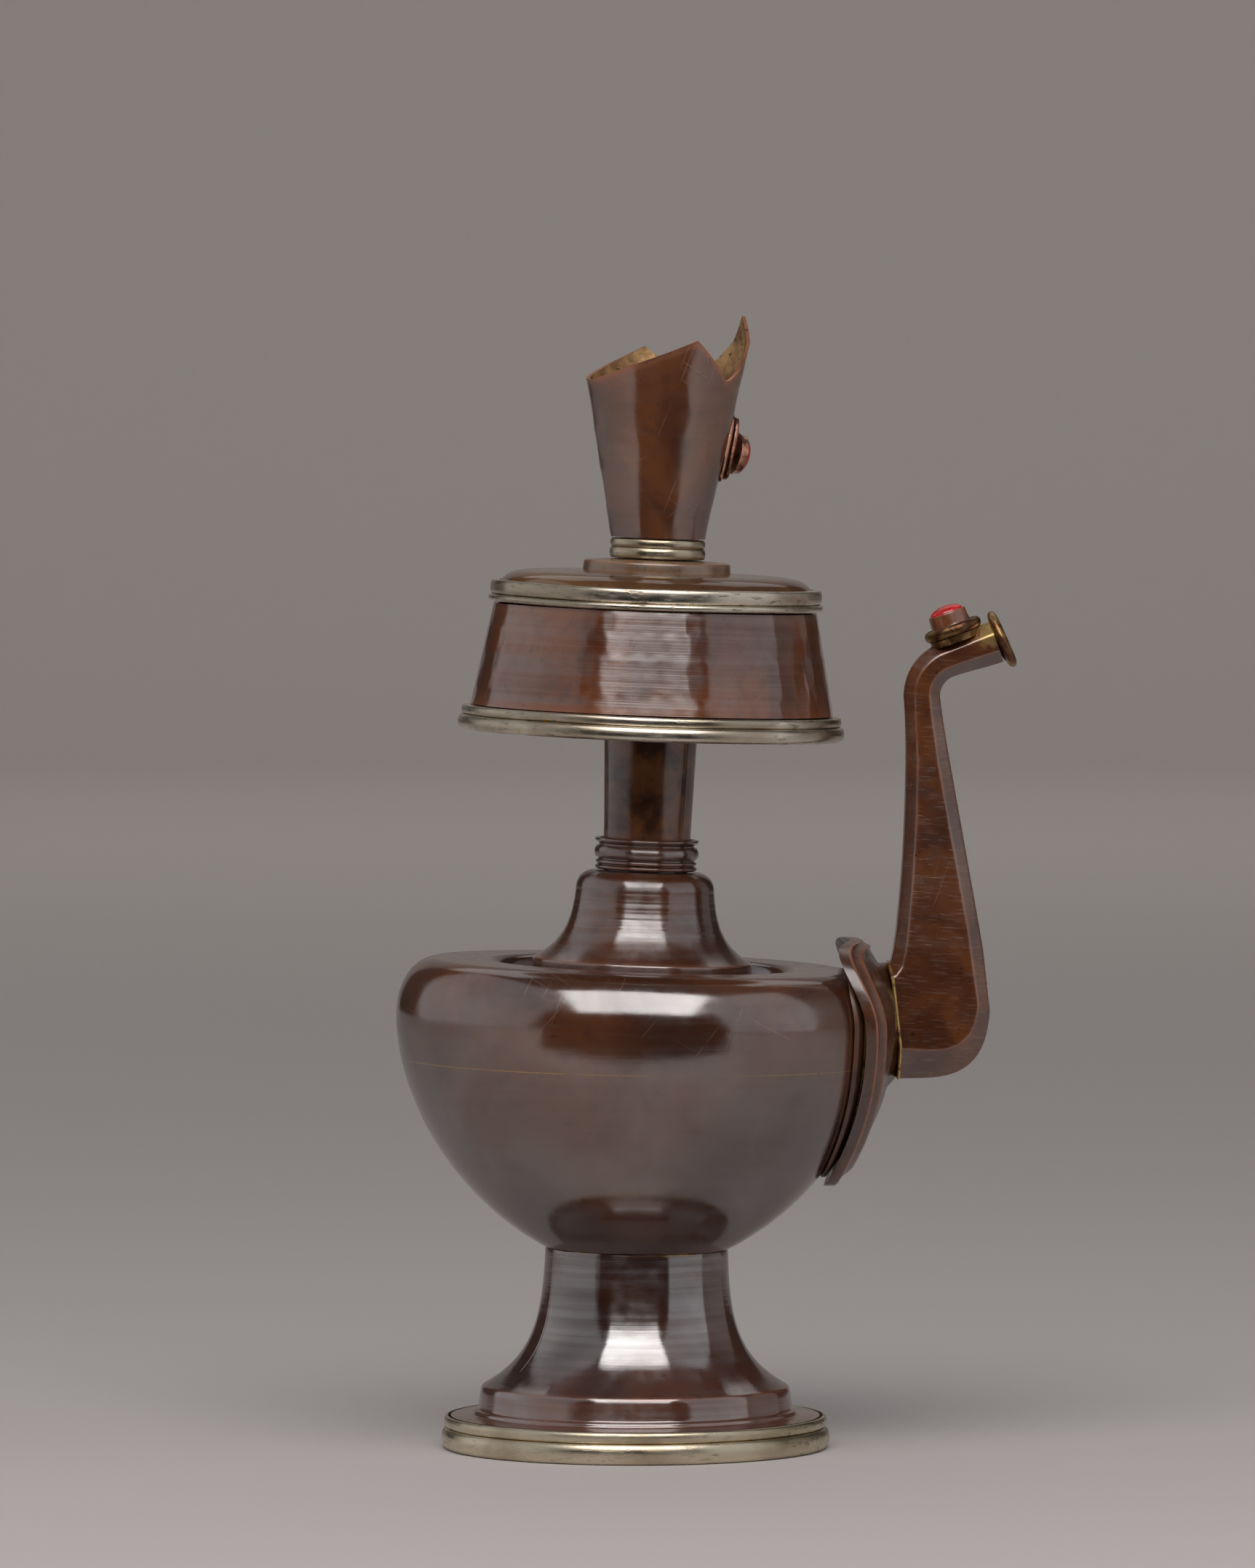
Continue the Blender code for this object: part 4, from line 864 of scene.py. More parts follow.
def make_neck():
    """Tube with its plug, and the canopy round it."""
    seat = CLEARANCE - 1.4
    rough = [
        (TUBE_RADIUS, TUBE_TOP), (TUBE_RADIUS, CANOPY_RISE), (TUBE_FOOT_RADIUS, seat), (PLUG_RADIUS, seat),
        (PLUG_RADIUS, -PLUG_DEPTH),
    ]

    def tube_form(angle, radius, z):
        if z < 0 or z > CANOPY_RISE + 4 or radius < TUBE_FOOT_RADIUS - 0.1:
            return 0.0, 0.0
        return smooth(0.0, 4, z) * (0.11 * waves(angle, 2.2 * z, 2.0) + groove(angle, TUBE_SEAM, 0.22)), 0.0

    turned("neck_tube", refine(rough) + inset(rough), TUBE_COPPER, "neck", segments=SMALL_SEGMENTS,
           form=tube_form, crease=TUBE_SEAM, wear=edge_wear((0.0,), 3.0, 0.75, 4.0))

    bead_ring("canopy_lower_rim", WHITE_METAL, LOWER_RIM_RADIUS, LOWER_RIM_WIDTH, CANOPY_RISE, 3.5, 2.1, 0.8,
              "neck", 0.22, 3.1)
    hole = TUBE_RADIUS + CLEARANCE
    level = CANOPY_RISE + 2.7
    floor = refine([(hole, level), (LOWER_RIM_RADIUS - LOWER_RIM_WIDTH - CLEARANCE, level)], 2)
    turned("canopy_floor", floor + inset(floor), PLATE_COPPER, "neck", form=uneven(0.0, 1.0, 0.05))

    wall = refine([(CANOPY_TOP_RADIUS, WALL_TOP), (CANOPY_FOOT_RADIUS, WALL_FOOT)], 0.5)

    def hammered(angle, radius, z):
        inside = smooth(WALL_FOOT, WALL_FOOT + 1.5, z) * (1 - smooth(WALL_TOP - 0.6, WALL_TOP, z))
        blows = flats(angle, z - WALL_FOOT, 50, 4.8, 7.0)
        blows += 0.5 * planished(angle % math.tau, z - WALL_FOOT, 38, 6.0, 3.0)
        return inside * (0.25 * blows - 0.04 + 0.06 * waves(angle, z, 8.0)), 0.0

    turned("canopy_wall", wall + inset(wall), DRUM_COPPER, "neck", segments=DRUM_SEGMENTS, form=hammered,
           wear=edge_wear((WALL_TOP, WALL_FOOT), 3.5, 0.42, 6.0))

    inside = UPPER_RIM_RADIUS - UPPER_RIM_WIDTH
    band_foot = UPPER_RIM_FOOT + 1.7
    root = UPPER_RIM_RADIUS - 1.2
    rim = bead(root, UPPER_RIM_RADIUS - 0.35, UPPER_RIM_TOP, band_foot, 18, 2.9)
    rim += bead(root, UPPER_RIM_RADIUS, band_foot, UPPER_RIM_FOOT)[1:]
    rim += [(inside, UPPER_RIM_FOOT), (inside, UPPER_RIM_TOP)]
    turned("canopy_upper_rim", rim, WHITE_METAL, "neck", form=uneven(0.09, 5.3, 0.16))

    dome = []
    for step in range(DOME_STEPS + 1):
        share = step / DOME_STEPS
        fall = mix(share**2, share**14, DOME_SHOULDER)
        dome.append((mix(hole, inside - CLEARANCE, share), mix(WASHER_FOOT + 0.2, DOME_EDGE, fall)))
    turned("canopy_top", dome + inset(dome), PLATE_COPPER, "neck", form=uneven(0.0, 2.5, 0.10))


def crown_half(petal_rise, hollow):
    """Half of the crown's rim, from the spike to the valley: (angle in degrees, height over the notches)."""
    half = []
    for start, end, high, low, bend in (
        (0.0, NOTCH_ANGLE, SPIKE_RISE, 0.0, SPIKE_HOLLOW),
        (NOTCH_ANGLE, PETAL_ANGLE, 0.0, petal_rise, 1.0),
        (PETAL_ANGLE, 180.0, petal_rise, VALLEY_RISE, hollow),
    ):
        steps = round((end - start) / CROWN_STEP)
        for step in range(steps):
            share = step / steps
            half.append((mix(start, end, share), mix(low, high, (1 - share) ** bend)))
    return half


def funnel_radius(height):
    """Outer radius of the funnel's cone at a height over its foot."""
    return mix(TUBE_RADIUS, FUNNEL_NOTCH_RADIUS, height / FUNNEL_NOTCH_HEIGHT)


def make_funnel():
    """Washer, collar, and the cone with its cut crown."""
    bore = TUBE_RADIUS - SHEET
    outline = refine(fillet([
        (TUBE_RADIUS + 0.8, WASHER_TOP, 0.0), (WASHER_RADIUS - 0.2, WASHER_TOP - 0.4, 0.6),
        (WASHER_RADIUS, WASHER_FOOT + 0.1, 0.0),
    ]))
    outline += [(bore, WASHER_FOOT + 0.25), (bore, WASHER_TOP)]
    turned("funnel_washer", outline, WASHER_COPPER, "neck", segments=SMALL_SEGMENTS, form=uneven(0.04, 2.2),
           wear=edge_wear((WASHER_TOP - 0.6, WASHER_FOOT), 0.6, 0.6, 2.0))

    root = TUBE_RADIUS - 0.3
    crest = TUBE_RADIUS + 0.3
    middle = mix(FUNNEL_COLLAR_FOOT, FUNNEL_COLLAR_TOP, 0.56)
    bore = TUBE_RADIUS - FUNNEL_SHEET - CLEARANCE
    outline = bead(root, crest - 0.1, FUNNEL_COLLAR_TOP, middle)
    outline += bead(root, crest, middle, FUNNEL_COLLAR_FOOT)[1:]
    outline += [(bore, FUNNEL_COLLAR_FOOT), (bore, FUNNEL_COLLAR_TOP)]
    turned("funnel_collar", outline, COLLAR_METAL, "neck", SMALL_SEGMENTS,
           form=uneven(0.05, 1.1, 0.05))

    rim = crown_half(BACK_PETAL_RISE, BACK_HOLLOW) + [(180.0, VALLEY_RISE)]
    rim += [(-angle, rise) for angle, rise in crown_half(FRONT_PETAL_RISE, FRONT_HOLLOW)[:0:-1]]
    rings = []
    for inward in (0.0, FUNNEL_SHEET):
        side = []
        for row in range(FUNNEL_ROWS + 1):
            ring = []
            for angle, rise in rim:
                turn = math.radians(angle)
                height = (NOTCH_HEIGHT + rise) * row / FUNNEL_ROWS
                curl = max(height - NOTCH_HEIGHT - FRONT_PETAL_RISE, 0.0) / (SPIKE_RISE - FRONT_PETAL_RISE)
                radius = funnel_radius(height) - SPIKE_CURL * curl - inward
                radius += 0.05 * waves(turn, height, 9.0)
                radius += 0.40 * planished(turn % math.tau, height, 11, 8.0, 2.0)
                ring.append((radius * math.cos(turn), radius * math.sin(turn), FUNNEL_FOOT + height))
            side.append(ring)
        rings += side[::-1] if inward else side

    def rubbed(row, column):
        edge = min(abs(row - FUNNEL_ROWS), abs(row - FUNNEL_ROWS - 1))
        if row > FUNNEL_ROWS:
            return 0.95 if edge == 0 else 0.10
        return (0.95, 0.15, 0.10)[edge] if edge < 3 else 0.0

    funnel = lofted("funnel", rings, FUNNEL_COPPER, "neck", wear=rubbed)
    funnel.data.materials.append(RAW_INSIDE)
    for face in funnel.data.polygons:
        outwards = Vector((face.center.x, face.center.y, 0.0)).normalized()
        if face.normal.dot(outwards) < -0.5:
            face.material_index = 1


# Flanges of the spout: their leaf outline, how far they stand off the body along X, and the joint of
# socket and spout as (x, z) points
LEAF_REACH = 2.3
LEAF_FULLNESS = 0.19
LEAF_HALF_WIDTH = 29.0
SOCKET_HEIGHT = 24.6
SOCKET_DEPTH = 17.0
SOCKET_WALL = 2.2
THROAT_Z = Z_SOCKET + SOCKET_HEIGHT / 2
LEAF_FOOT = THROAT_Z - SOCKET_HEIGHT - 23.2
LEAF_CROWN = THROAT_Z + 1.7
REAR_FRONT = 1.4
SOCKET_BACK = REAR_FRONT + 2 * CLEARANCE + 0.7
SPOUT_X = body_side(0.0, Z_BELLY) + SOCKET_BACK + 2 * CLEARANCE + 2.1
JOINT_LOW = (SPOUT_X - 2.0, THROAT_Z - SOCKET_HEIGHT)
JOINT_HIGH = (SPOUT_X - 4.2, THROAT_Z + 1.9)
JOINT_MIDDLE = (JOINT_LOW[1] + JOINT_HIGH[1]) / 2
JOINT_HALF = (JOINT_HIGH[1] - JOINT_LOW[1]) / 2
JOINT_BULGE = 1.3
JOINT_WIDTH = 0.7

# Rows of the two flanges: share of the way from the leaf's edge to the bore, stand off the body, wear
REAR_ROWS = (
    (1.0, 0.4, 0.0), (0.5, 0.4, 0.0), (0.004, 0.4, 0.1), (0.0, 0.5, 0.3), (0.0, 1.2, 0.2), (0.004, 1.35, 0.3),
    (0.015, 1.4, 0.1), (0.25, 1.4, 0.0), (0.6, 1.4, 0.0), (1.0, 1.4, 0.0),
)
FRONT_ROWS = (
    (0.30, 2.7, 0.0), (0.10, 2.7, 0.0), (0.015, 2.75, 0.0), (0.001, 2.9, 0.2), (0.0, 3.1, 0.1),
    (0.0, 5.1, 0.1), (0.002, 5.35, 0.6), (0.008, 5.5, 0.8), (0.020, 5.5, 0.5), (0.050, 5.2, 0.1),
    (0.080, 5.2, 0.1), (0.110, 5.7, 0.3), (0.135, 5.95, 0.6), (0.160, 5.9, 0.5), (0.195, 5.4, 0.1),
    (0.25, 4.95, 0.0), (0.34, 4.6, 0.0), (0.46, 4.3, 0.0), (0.60, 4.1, 0.0),
)

# Spout: a chamfered bar bent to a swan neck
SPOUT_CHAMFER = 2.9
CHAMFER_SHARE = 0.60
SPOUT_WALL = 2.2
TIP_WALL = 1.2
HEEL_REACH = 21.0
HEEL_SQUARENESS = 3.5
HEEL_SHARE = 0.89
HEEL_STEPS = 16
BULGED_STATIONS = 6
STEM_FOOT = THROAT_Z + 5.0
STEM_LENGTH = 58.6
STEM_X = SPOUT_X + 6.9
STEM_DRIFT = 3.8
STEM_WIDTH = 20.7
STEM_DEPTH = 16.0
STEM_TAPER = 1.5
STEM_STEPS = 30
TIP_WIDTH = 9.0
CROOK_WIDTH = 8.4
CROOK_RADIUS = 9.0
CROOK_STEPS = 14
RUN_WIDTH = 9.8
RUN_STEPS = 8
SPOUT_PITCH = math.radians(20.0)
LIP_PITCH = math.radians(24.0)
LIP_RADIUS = 7.0
SEAT_PLACE = 3.5
SEAT_RADIUS = 6.8
SPOUT_RUN = SEAT_PLACE + SEAT_RADIUS + 1.7
EDGE_EASE = 0.30
BELLY_CUT = 4.2
EDGE_POINTS = 5


def joint_push(z):
    """How far the joint of socket and spout bulges out at a height, as a share."""
    return max(1 - ((z - JOINT_MIDDLE) / JOINT_HALF) ** 2, 0.0)


def joint_x(z):
    """X of the joint of socket and spout at a height."""
    share = (z - JOINT_LOW[1]) / (2 * JOINT_HALF)
    return mix(JOINT_LOW[0], JOINT_HIGH[0], share) + JOINT_BULGE * joint_push(z)


def leaf(half_width, tip, crown):
    """Leaf outline as (across, along) points: pointed at its tip, round at its crown."""
    side = []
    for step in range(LEAF_POINTS + 1):
        share = (1 - math.cos(math.pi * step / LEAF_POINTS)) / 2
        swell = max(math.sin(math.pi * share**LEAF_REACH), 0.0) ** LEAF_FULLNESS
        side.append((half_width * swell, mix(tip, crown, share)))
    side[0] = (0.0, tip)
    side[-1] = (0.0, crown)
    return side + [(-across, along) for across, along in side[-2:0:-1]]


def oval(half_width, half_height, middle):
    """Oval outline whose points answer those of a leaf, from its foot upwards."""
    points = []
    for step in range(2 * LEAF_POINTS):
        angle = math.pi * step / LEAF_POINTS
        points.append((half_width * math.sin(angle), middle - half_height * math.cos(angle)))
    return points


def on_body(outer, inner, share, stand):
    """Ring at a share of the way from one (y, z) outline to another, laid on the body and standing off it."""
    outline = [toward(start, end, share) for start, end in zip(outer, inner)]
    return [(body_side(y, z) + stand, y, z) for y, z in outline]


def make_flanges():
    """Rear flange, the brass line in its groove, and the front flange that flares into the socket."""
    bore = oval(SOCKET_DEPTH / 2 - SOCKET_WALL, SOCKET_HEIGHT / 2 - SOCKET_WALL, Z_SOCKET)
    mouth = oval(SOCKET_DEPTH / 2, JOINT_HALF, JOINT_MIDDLE)
    rear_leaf = leaf(LEAF_HALF_WIDTH, LEAF_FOOT, LEAF_CROWN)
    front_leaf = leaf(LEAF_HALF_WIDTH, LEAF_FOOT - 2.0, LEAF_CROWN + 5.5)

    rear = [on_body(rear_leaf, bore, share, stand) for share, stand, _ in REAR_ROWS]
    lofted("spout_rear_flange", rear, REAR_COPPER, wear=lambda row, column: REAR_ROWS[row][2])

    line = mix(REAR_FRONT, SOCKET_BACK, 0.6)
    filling = []
    for share, stand in (
        (0.7, REAR_FRONT + 0.1), (0.3, REAR_FRONT + 0.1), (0.12, line - 0.25), (0.055, line - 0.12),
        (0.050, line), (0.055, line + 0.12), (0.12, line + 0.25), (0.3, SOCKET_BACK - 0.1),
        (0.7, SOCKET_BACK - 0.1),
    ):
        filling.append(on_body(rear_leaf, bore, share, stand))
    lofted("spout_flange_braze", filling, BRAZE)

    socket = [on_body(front_leaf, bore, share, stand) for share, stand, _ in FRONT_ROWS]
    root = socket[-1]
    for share in (0.25, 0.5, 0.75, 1.0):
        ring = []
        for (root_x, root_y, root_z), (y, z) in zip(root, mouth):
            x = mix(root_x, joint_x(z) - JOINT_WIDTH, share**2)
            ring.append((x, mix(root_y, y, share), mix(root_z, z, share)))
        socket.append(ring)
    socket.append([(joint_x(z) - JOINT_WIDTH, y, z) for y, z in bore])
    socket.append(on_body(bore, bore, 0.0, SOCKET_BACK))
    wears = [wear for _, _, wear in FRONT_ROWS] + [0.05] * (len(socket) - len(FRONT_ROWS))
    lofted("spout_socket", socket, FLANGE_COPPER, wear=lambda row, column: wears[row])


def eight_sided(middle, across, half_width, half_depth, belly):
    """Ring of the spout's section: a box with cut corners and eased edges, across lying in the XZ plane."""
    cut = min(SPOUT_CHAMFER, CHAMFER_SHARE * min(half_width, half_depth))
    corners = [
        (half_width, half_depth - cut), (half_width - cut - belly, half_depth),
        (cut - half_width, half_depth), (-half_width, half_depth - cut),
    ]
    corners += [(width, -depth) for width, depth in corners[::-1]]
    ring = []
    for index, corner in enumerate(corners):
        sides = []
        for other in (corners[index - 1], corners[(index + 1) % len(corners)]):
            ease = min(EDGE_EASE / math.dist(corner, other), 0.2)
            sides.append([toward(corner, other, 2.4 * ease), toward(corner, other, ease)])
        before, after = sides
        eased = toward(corner, toward(before[1], after[1], 0.5), 0.5)
        ring += before + [eased] + after[::-1]
    return [(middle[0] + across[0] * width, depth, middle[1] + across[1] * width) for width, depth in ring]


def crook(pitch):
    """Middle and across direction on the spout's crook where it heads at a pitch."""
    across = (math.sin(pitch), -math.cos(pitch))
    middle_x = STEM_X - STEM_DRIFT + CROOK_RADIUS * (1 - across[0])
    return (middle_x, STEM_FOOT + STEM_LENGTH - CROOK_RADIUS * across[1]), across


def run_point(distance, rise=0.0):
    """Point at a distance along the straight run of the spout's tip, and a rise off its middle."""
    (x, z), (down_x, down_z) = crook(SPOUT_PITCH)
    x += distance * math.cos(SPOUT_PITCH) - rise * down_x
    return x, z + distance * math.sin(SPOUT_PITCH) - rise * down_z


def spout_stations():
    """Stations of the spout from its socket to its lip: middle, across, half width, half depth, wall."""
    stations = []
    power = 2 / HEEL_SQUARENESS
    for step in range(HEEL_STEPS + 1):
        share = step / HEEL_STEPS * HEEL_SHARE
        turn = math.pi / 2 * (1 - share)
        reach = HEEL_REACH * math.cos(turn) ** power if step else 0.0
        outer = (JOINT_LOW[0] + reach, THROAT_Z - SOCKET_HEIGHT * math.sin(turn) ** power)
        inner = (JOINT_HIGH[0] + 0.3 * share, JOINT_HIGH[1] + 1.2 * share)
        width = math.dist(inner, outer)
        across = ((outer[0] - inner[0]) / width, (outer[1] - inner[1]) / width)
        depth = mix(SOCKET_DEPTH, STEM_DEPTH, step / HEEL_STEPS) / 2
        stations.append((toward(inner, outer, 0.5), across, width / 2, depth, SPOUT_WALL))
    for step in range(STEM_STEPS):
        share = step / STEM_STEPS
        taper = (1 - share) ** STEM_TAPER
        narrow = mix(TIP_WIDTH, CROOK_WIDTH, smooth(0.5, 1.0, share))
        half = mix(narrow, STEM_WIDTH, taper) / 2
        depth = mix(narrow, STEM_DEPTH, taper) / 2
        middle = (STEM_X - STEM_DRIFT * share**STEM_TAPER, STEM_FOOT + STEM_LENGTH * share)
        stations.append((middle, (1.0, 0.0), half, depth, mix(TIP_WALL, SPOUT_WALL, taper)))
    for step in range(CROOK_STEPS + 1):
        middle, across = crook(mix(math.pi / 2, SPOUT_PITCH, step / CROOK_STEPS))
        stations.append((middle, across, CROOK_WIDTH / 2, CROOK_WIDTH / 2, TIP_WALL))
    for step in range(1, RUN_STEPS + 1):
        half = mix(CROOK_WIDTH, RUN_WIDTH, smooth(0.0, 1.0, step / RUN_STEPS)) / 2
        stations.append((run_point(SPOUT_RUN * step / RUN_STEPS), across, half, half, TIP_WALL))
    return stations


def make_spout():
    """Brazed joint, swan neck, lip, and the stone's setting on the run."""
    stations = spout_stations()
    middle, across, half_width, half_depth, _ = stations[0]
    joint = []
    for step, grow in ((-JOINT_WIDTH, -1.0), (-JOINT_WIDTH, 0.05), (-0.4, 0.25), (0.0, 0.05), (0.0, -1.0)):
        ring = eight_sided(middle, across, half_width + grow, half_depth + grow, BELLY_CUT)
        joint.append([(x + step + JOINT_BULGE * joint_push(z), y, z) for x, y, z in ring])
    lofted("spout_braze_ring", joint, BRAZE)

    outer = []
    bore = []
    for index, (middle, across, half_width, half_depth, wall) in enumerate(stations):
        push = JOINT_BULGE * max(1 - index / BULGED_STATIONS, 0.0)
        belly = BELLY_CUT * (1 - smooth(0.0, HEEL_STEPS + 3.0, index))
        for rings, inwards in ((outer, 0.0), (bore, wall)):
            ring = eight_sided(middle, across, half_width - inwards, half_depth - inwards, belly)
            rings.append([(x + push * joint_push(z), y, z) for x, y, z in ring])
    count = len(outer)

    def rubbed(row, column):
        if row >= count:
            return 0.2
        patchy = 0.75 + 0.25 * math.sin(0.9 * row + 2.0 * (column // EDGE_POINTS))
        return (0.0, 0.15, 0.6, 0.15, 0.0)[column % EDGE_POINTS] * patchy

    def brazed(row, column):
        upper = column // EDGE_POINTS in (2, 3, 4, 5)
        return smooth(count - 4.5, count - 1.5, row) if row < count and upper else 0.0

    lofted("spout", outer + bore[::-1], SPOUT_COPPER, wear=rubbed, solder=brazed, sharp=50.0)

    x, z = run_point(SPOUT_RUN + CLEARANCE)
    placing = Matrix.Translation((x, 0.0, z)) @ Matrix.Rotation(math.pi / 2 - LIP_PITCH, 4, "Y")
    lip = [(3.4, 0.8), (4.9, 1.0)] + bead(5.2, LIP_RADIUS, 2.3, 0.0, 18, 2.0) + [(4.6, -0.3), (3.4, -0.5)]
    turned("spout_lip", lip, LIP_BRASS, segments=SMALL_SEGMENTS, placing=placing,
           form=uneven(0.05, 3.3))

    x, z = run_point(SEAT_PLACE, CROOK_WIDTH / 2 + 1.1)
    placing = Matrix.Translation((x, 0.0, z)) @ Matrix.Rotation(-SPOUT_PITCH, 4, "Y")
    seat = [(0.0, 1.2), (SEAT_RADIUS - 1.3, 1.2)] + bead(SEAT_RADIUS - 1.0, SEAT_RADIUS, 2.0, -0.5, 18, 2.0)
    seat += [(SEAT_RADIUS - 0.8, -0.7), (SEAT_RADIUS - 1.0, -2.2), (0.0, -2.2)]
    turned("spout_stone_seat", seat, SEAT_METAL, segments=SMALL_SEGMENTS, placing=placing,
           form=uneven(0.06, 4.4))
    make_stone("spout", "vessel", placing, 1.3, 3.6, 1.8, BEZEL_COPPER)


def make_stone(prefix, body, placing, rise, height, dome, metal):
    """A bezel cup with its rubbed-over edge, at a rise over the placing, and the cabochon in it."""
    placing = placing @ Matrix.Translation((0.0, 0.0, rise))
    inside = BEZEL_RADIUS - BEZEL_WALL
    cup = fillet([
        (0.0, BEZEL_WALL, 0.0), (inside, BEZEL_WALL, 0.0), (inside - 0.15, height, 0.15),
        (BEZEL_RADIUS - 0.2, height + 0.05, 0.3), (BEZEL_RADIUS, 0.8, 0.4), (BEZEL_RADIUS + 0.25, 0.0, 0.0),
        (0.0, 0.0, 0.0),
    ])
    turned(prefix + "_stone_bezel", cup, metal, body, SMALL_SEGMENTS, placing,
           form=uneven(0.06, 7.7, 0.06), wear=edge_wear((height,), 0.5, 0.4, 1.0))
    radius = inside - 0.2
    foot = BEZEL_WALL + 0.1
    crown = arc((0.0, height - 0.1), radius, dome, 90, 0, 24)
    crown[0] = (0.0, height - 0.1 + dome)
    crown += [(radius, foot), (0.0, foot)]
    turned(prefix + "_stone", crown, CORAL, body, SMALL_SEGMENTS, placing)


def make_funnel_setting():
    """Two leaf plates on the funnel's spike side, with a bezel and its stone."""
    slope = math.atan2(FUNNEL_NOTCH_RADIUS - TUBE_RADIUS, FUNNEL_NOTCH_HEIGHT)
    radius = funnel_radius(PLATE_PLACE)
    placing = NECK_PLACE @ Matrix.Translation((radius, 0.0, FUNNEL_FOOT + PLATE_PLACE))
    placing = placing @ Matrix.Rotation(math.pi / 2 + slope, 4, "Y")
    rise = 0.2
    for name, step in (("funnel_back_plate", 0.0), ("funnel_front_plate", PLATE_STEP)):
        reach = PLATE_HALF_LENGTH - step
        edge = leaf(BEZEL_RADIUS + PLATE_MARGIN - step, -reach - PLATE_TIP, reach)
        rings = []
        for share, lift in (
            (0.3, 0.0), (1.0, 0.0), (1.01, 0.25), (0.99, 0.45), (0.95, 0.55), (0.90, 0.50), (0.86, 0.50),
            (0.80, 0.72), (0.72, 0.86), (0.5, 0.96), (0.3, 1.0),
        ):
            ring = []
            for across, along in edge:
                hollow = (share * across) ** 2 / (2 * radius)
                ring.append((share * along, share * across, rise + lift * PLATE_THICKNESS - hollow))
            rings.append(ring)
        lofted(name, rings, SETTING_METAL, "neck", closed=False, placing=placing,
               wear=lambda row, column: 0.6 if row in (2, 3, 4) else 0.25)
        rise += PLATE_THICKNESS + 0.1
    make_stone("funnel", "neck", placing, rise + 0.2, 1.9, 1.6, SETTING_METAL)


make_base()
make_foot()
make_body()
make_bell()
make_neck()
make_funnel()
make_flanges()
make_spout()
make_funnel_setting()


# Studio, in metres: a round pale stage, so that no side of the object is hidden, soft boxes and dark cards
FLOOR_RADIUS = 3.9
STAGE_RADIUS = 5.0
STAGE_HEIGHT = 4.0
STAGE_SEGMENTS = 96
STAGE_COLOUR = (0.475, 0.447, 0.440)
AIM = Vector((0.0, 0.0, 0.13))
WASH_REACH = 2.6
WASH_HEIGHT = 2.2
TABLE_EDGE = 0.27
DARK_REACH = 1.5
DARK_HEIGHT = 1.0
DARK_LEFT = math.tan(math.radians(46.0))
DARK_RIGHT = math.tan(math.radians(40.0))
CARD_RISE = 0.004
REAR_DARK = (132.0, 160.0)
REAR_REACH = 2.6
REAR_HEIGHT = 2.2
REAR_RISE = 0.01


def plain(name, colour, roughness, specular):
    """Material of one colour all over."""
    material = bpy.data.materials.new(name)
    material.use_nodes = True
    surface = material.node_tree.nodes["Principled BSDF"]
    surface.inputs["Base Color"].default_value = (*colour, 1.0)
    surface.inputs["Roughness"].default_value = roughness
    surface.inputs["Specular IOR Level"].default_value = specular
    return material


def make_stage():
    """Floor that sweeps up into a round wall."""
    bend = STAGE_RADIUS - FLOOR_RADIUS
    profile = [(0.0, 0.0), (0.5, 0.0), (1.5, 0.0)] + arc((FLOOR_RADIUS, bend), bend, bend, -90, 0, 16)
    shape = bmesh.new()
    loops = []
    for radius, z in profile + [(STAGE_RADIUS, STAGE_HEIGHT)]:
        loop = []
        for index in range(STAGE_SEGMENTS if radius > 0 else 1):
            angle = math.tau * index / STAGE_SEGMENTS
            loop.append(shape.verts.new((radius * math.cos(angle), radius * math.sin(angle), z)))
        loops.append(loop)
    skin(shape, loops, False)
    mesh = smooth_mesh("stage", shape, plain("stage_paper", STAGE_COLOUR, 0.75, 0.25))
    add_object("stage", mesh)


def level_way(azimuth):
    """Level direction; azimuth, in degrees, runs from the camera's side towards the spout."""
    turn = math.radians(azimuth)
    return Vector((math.sin(turn), -math.cos(turn), 0.0))


def aimed(name, data, place, away):
    """Lamp or camera at a place, looking the opposite way from away."""
    thing = add_object(name, data)
    thing.location = place
    thing.rotation_euler = away.to_track_quat("Z", "Y").to_euler()
    return thing


def soft_light(name, place, away, width, height, radiance, colour):
    """Rectangular light that the camera doesn't see."""
    light = bpy.data.lights.new(name, "AREA")
    light.shape = "RECTANGLE"
    light.size = width
    light.size_y = height
    light.energy = radiance * math.pi * width * height
    light.color = colour
    lamp = aimed(name, light, place, away)
    lamp.visible_camera = False


def soft_box(name, azimuth, elevation, distance, width, height, radiance, colour):
    """Soft light turned to the object."""
    tilt = math.radians(elevation)
    away = level_way(azimuth) * math.cos(tilt) + Vector((0.0, 0.0, math.sin(tilt)))
    soft_light(name, AIM + away * distance, away, width, height, radiance, colour)


def wall_wash(azimuth):
    """Soft light that looks away from the object and brightens the wall behind it."""
    way = level_way(azimuth)
    place = WASH_REACH * way + Vector((0.0, 0.0, WASH_HEIGHT))
    back = (Vector((0.0, 0.0, 1.0)) - way).normalized()
    soft_light("wall_wash_%d" % azimuth, place, back, 2.4, 0.5, 6.6, (1.0, 0.96, 0.91))


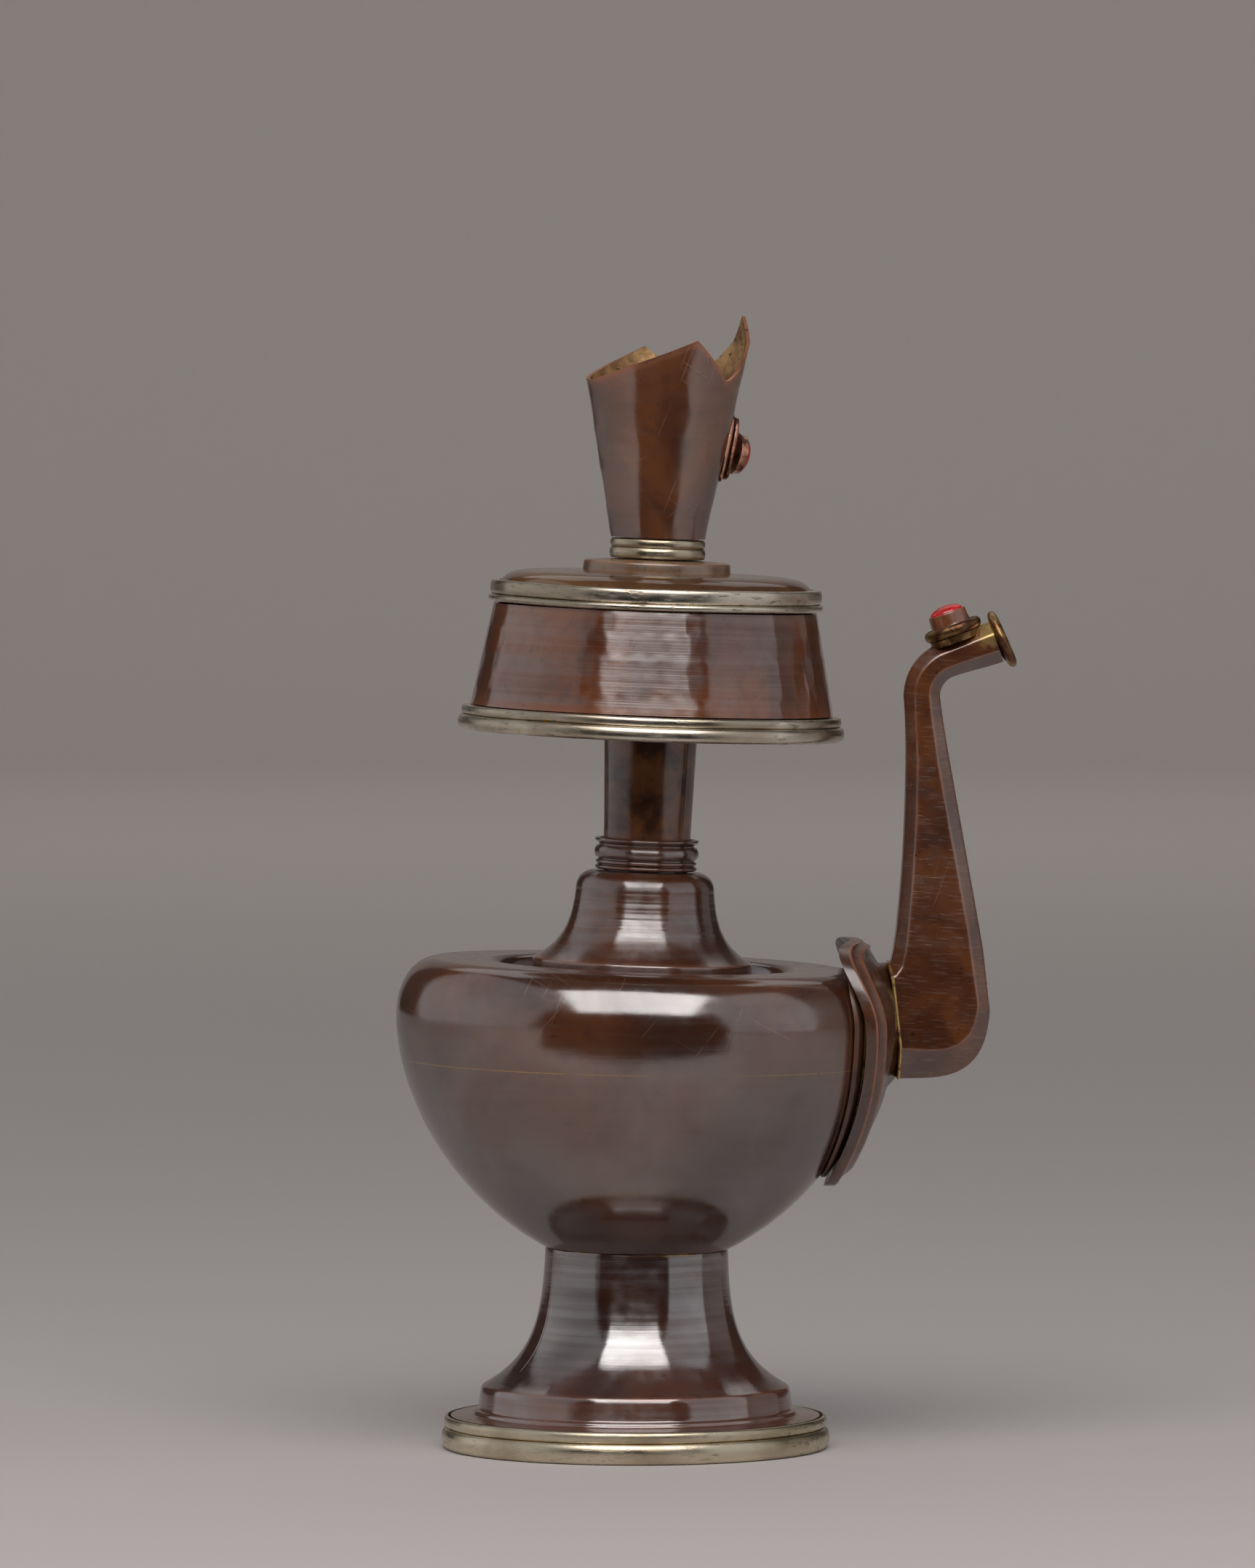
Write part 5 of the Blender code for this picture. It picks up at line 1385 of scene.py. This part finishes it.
def dark_card(name, corners, shade=0.012):
    """Dark card that only reflections see, for the dark parts of the room."""
    mesh = bpy.data.meshes.new(name)
    mesh.from_pydata(corners, [], [tuple(range(len(corners)))])
    mesh.materials.append(plain(name, (shade, 0.9 * shade, 0.8 * shade), 1.0, 0.0))
    card = add_object(name, mesh)
    card.visible_camera = False
    card.visible_diffuse = False
    card.visible_shadow = False


def upright(first, last, foot, top):
    """Corners of an upright card over the line from first to last."""
    return [(*first, foot), (*last, foot), (*last, top), (*first, top)]


def make_light():
    """Soft box over the camera, panels at the sides, a weaker box and lit walls behind, and dark cards."""
    soft_box("key", -2, 47.5, 1.5, 1.55, 1.25, 3.8, (1.0, 0.965, 0.95))
    soft_box("left_panel", -90, 28, 1.7, 3.0, 2.1, 0.33, (0.95, 0.96, 1.0))
    soft_box("right_panel", 66, 26, 1.7, 1.7, 2.0, 0.45, (0.95, 0.96, 1.0))
    soft_box("rear", 178, 50, 2.0, 1.8, 1.2, 0.55, (1.0, 0.97, 0.95))
    for azimuth in (110, 180, 250):
        wall_wash(azimuth)
    near, far = [
        ((-reach * DARK_LEFT, -reach), (reach * DARK_RIGHT, -reach)) for reach in (TABLE_EDGE, DARK_REACH)
    ]
    dark_card("dark_floor", [(*corner, CARD_RISE) for corner in (*near, *far[::-1])])
    dark_card("dark_room", upright(*far, CARD_RISE, DARK_HEIGHT))
    for side in (-1, 1):
        ends = [tuple(REAR_REACH * level_way(side * azimuth).xy) for azimuth in REAR_DARK]
        dark_card("dark_side_%d" % (side + 1), upright(*ends, REAR_RISE, REAR_HEIGHT), 0.09)
    world = bpy.data.worlds.new("room")
    world.use_nodes = True
    room = world.node_tree.nodes["Background"]
    room.inputs["Color"].default_value = (0.9, 0.95, 1.0, 1.0)
    room.inputs["Strength"].default_value = 0.05
    bpy.context.scene.world = world


def make_camera():
    """Long lens a little over the object, as in the photograph."""
    place = Vector((-0.0018, -2.688, 0.2676))
    target = Vector((-0.0018, 0.0, 0.1537))
    lens = bpy.data.cameras.new("camera")
    lens.sensor_width = 36.0
    lens.lens = 267.2
    lens.clip_end = 30.0
    bpy.context.scene.camera = aimed("camera", lens, place, place - target)
    bpy.context.scene.view_settings.view_transform = "Standard"


make_stage()
make_light()
make_camera()
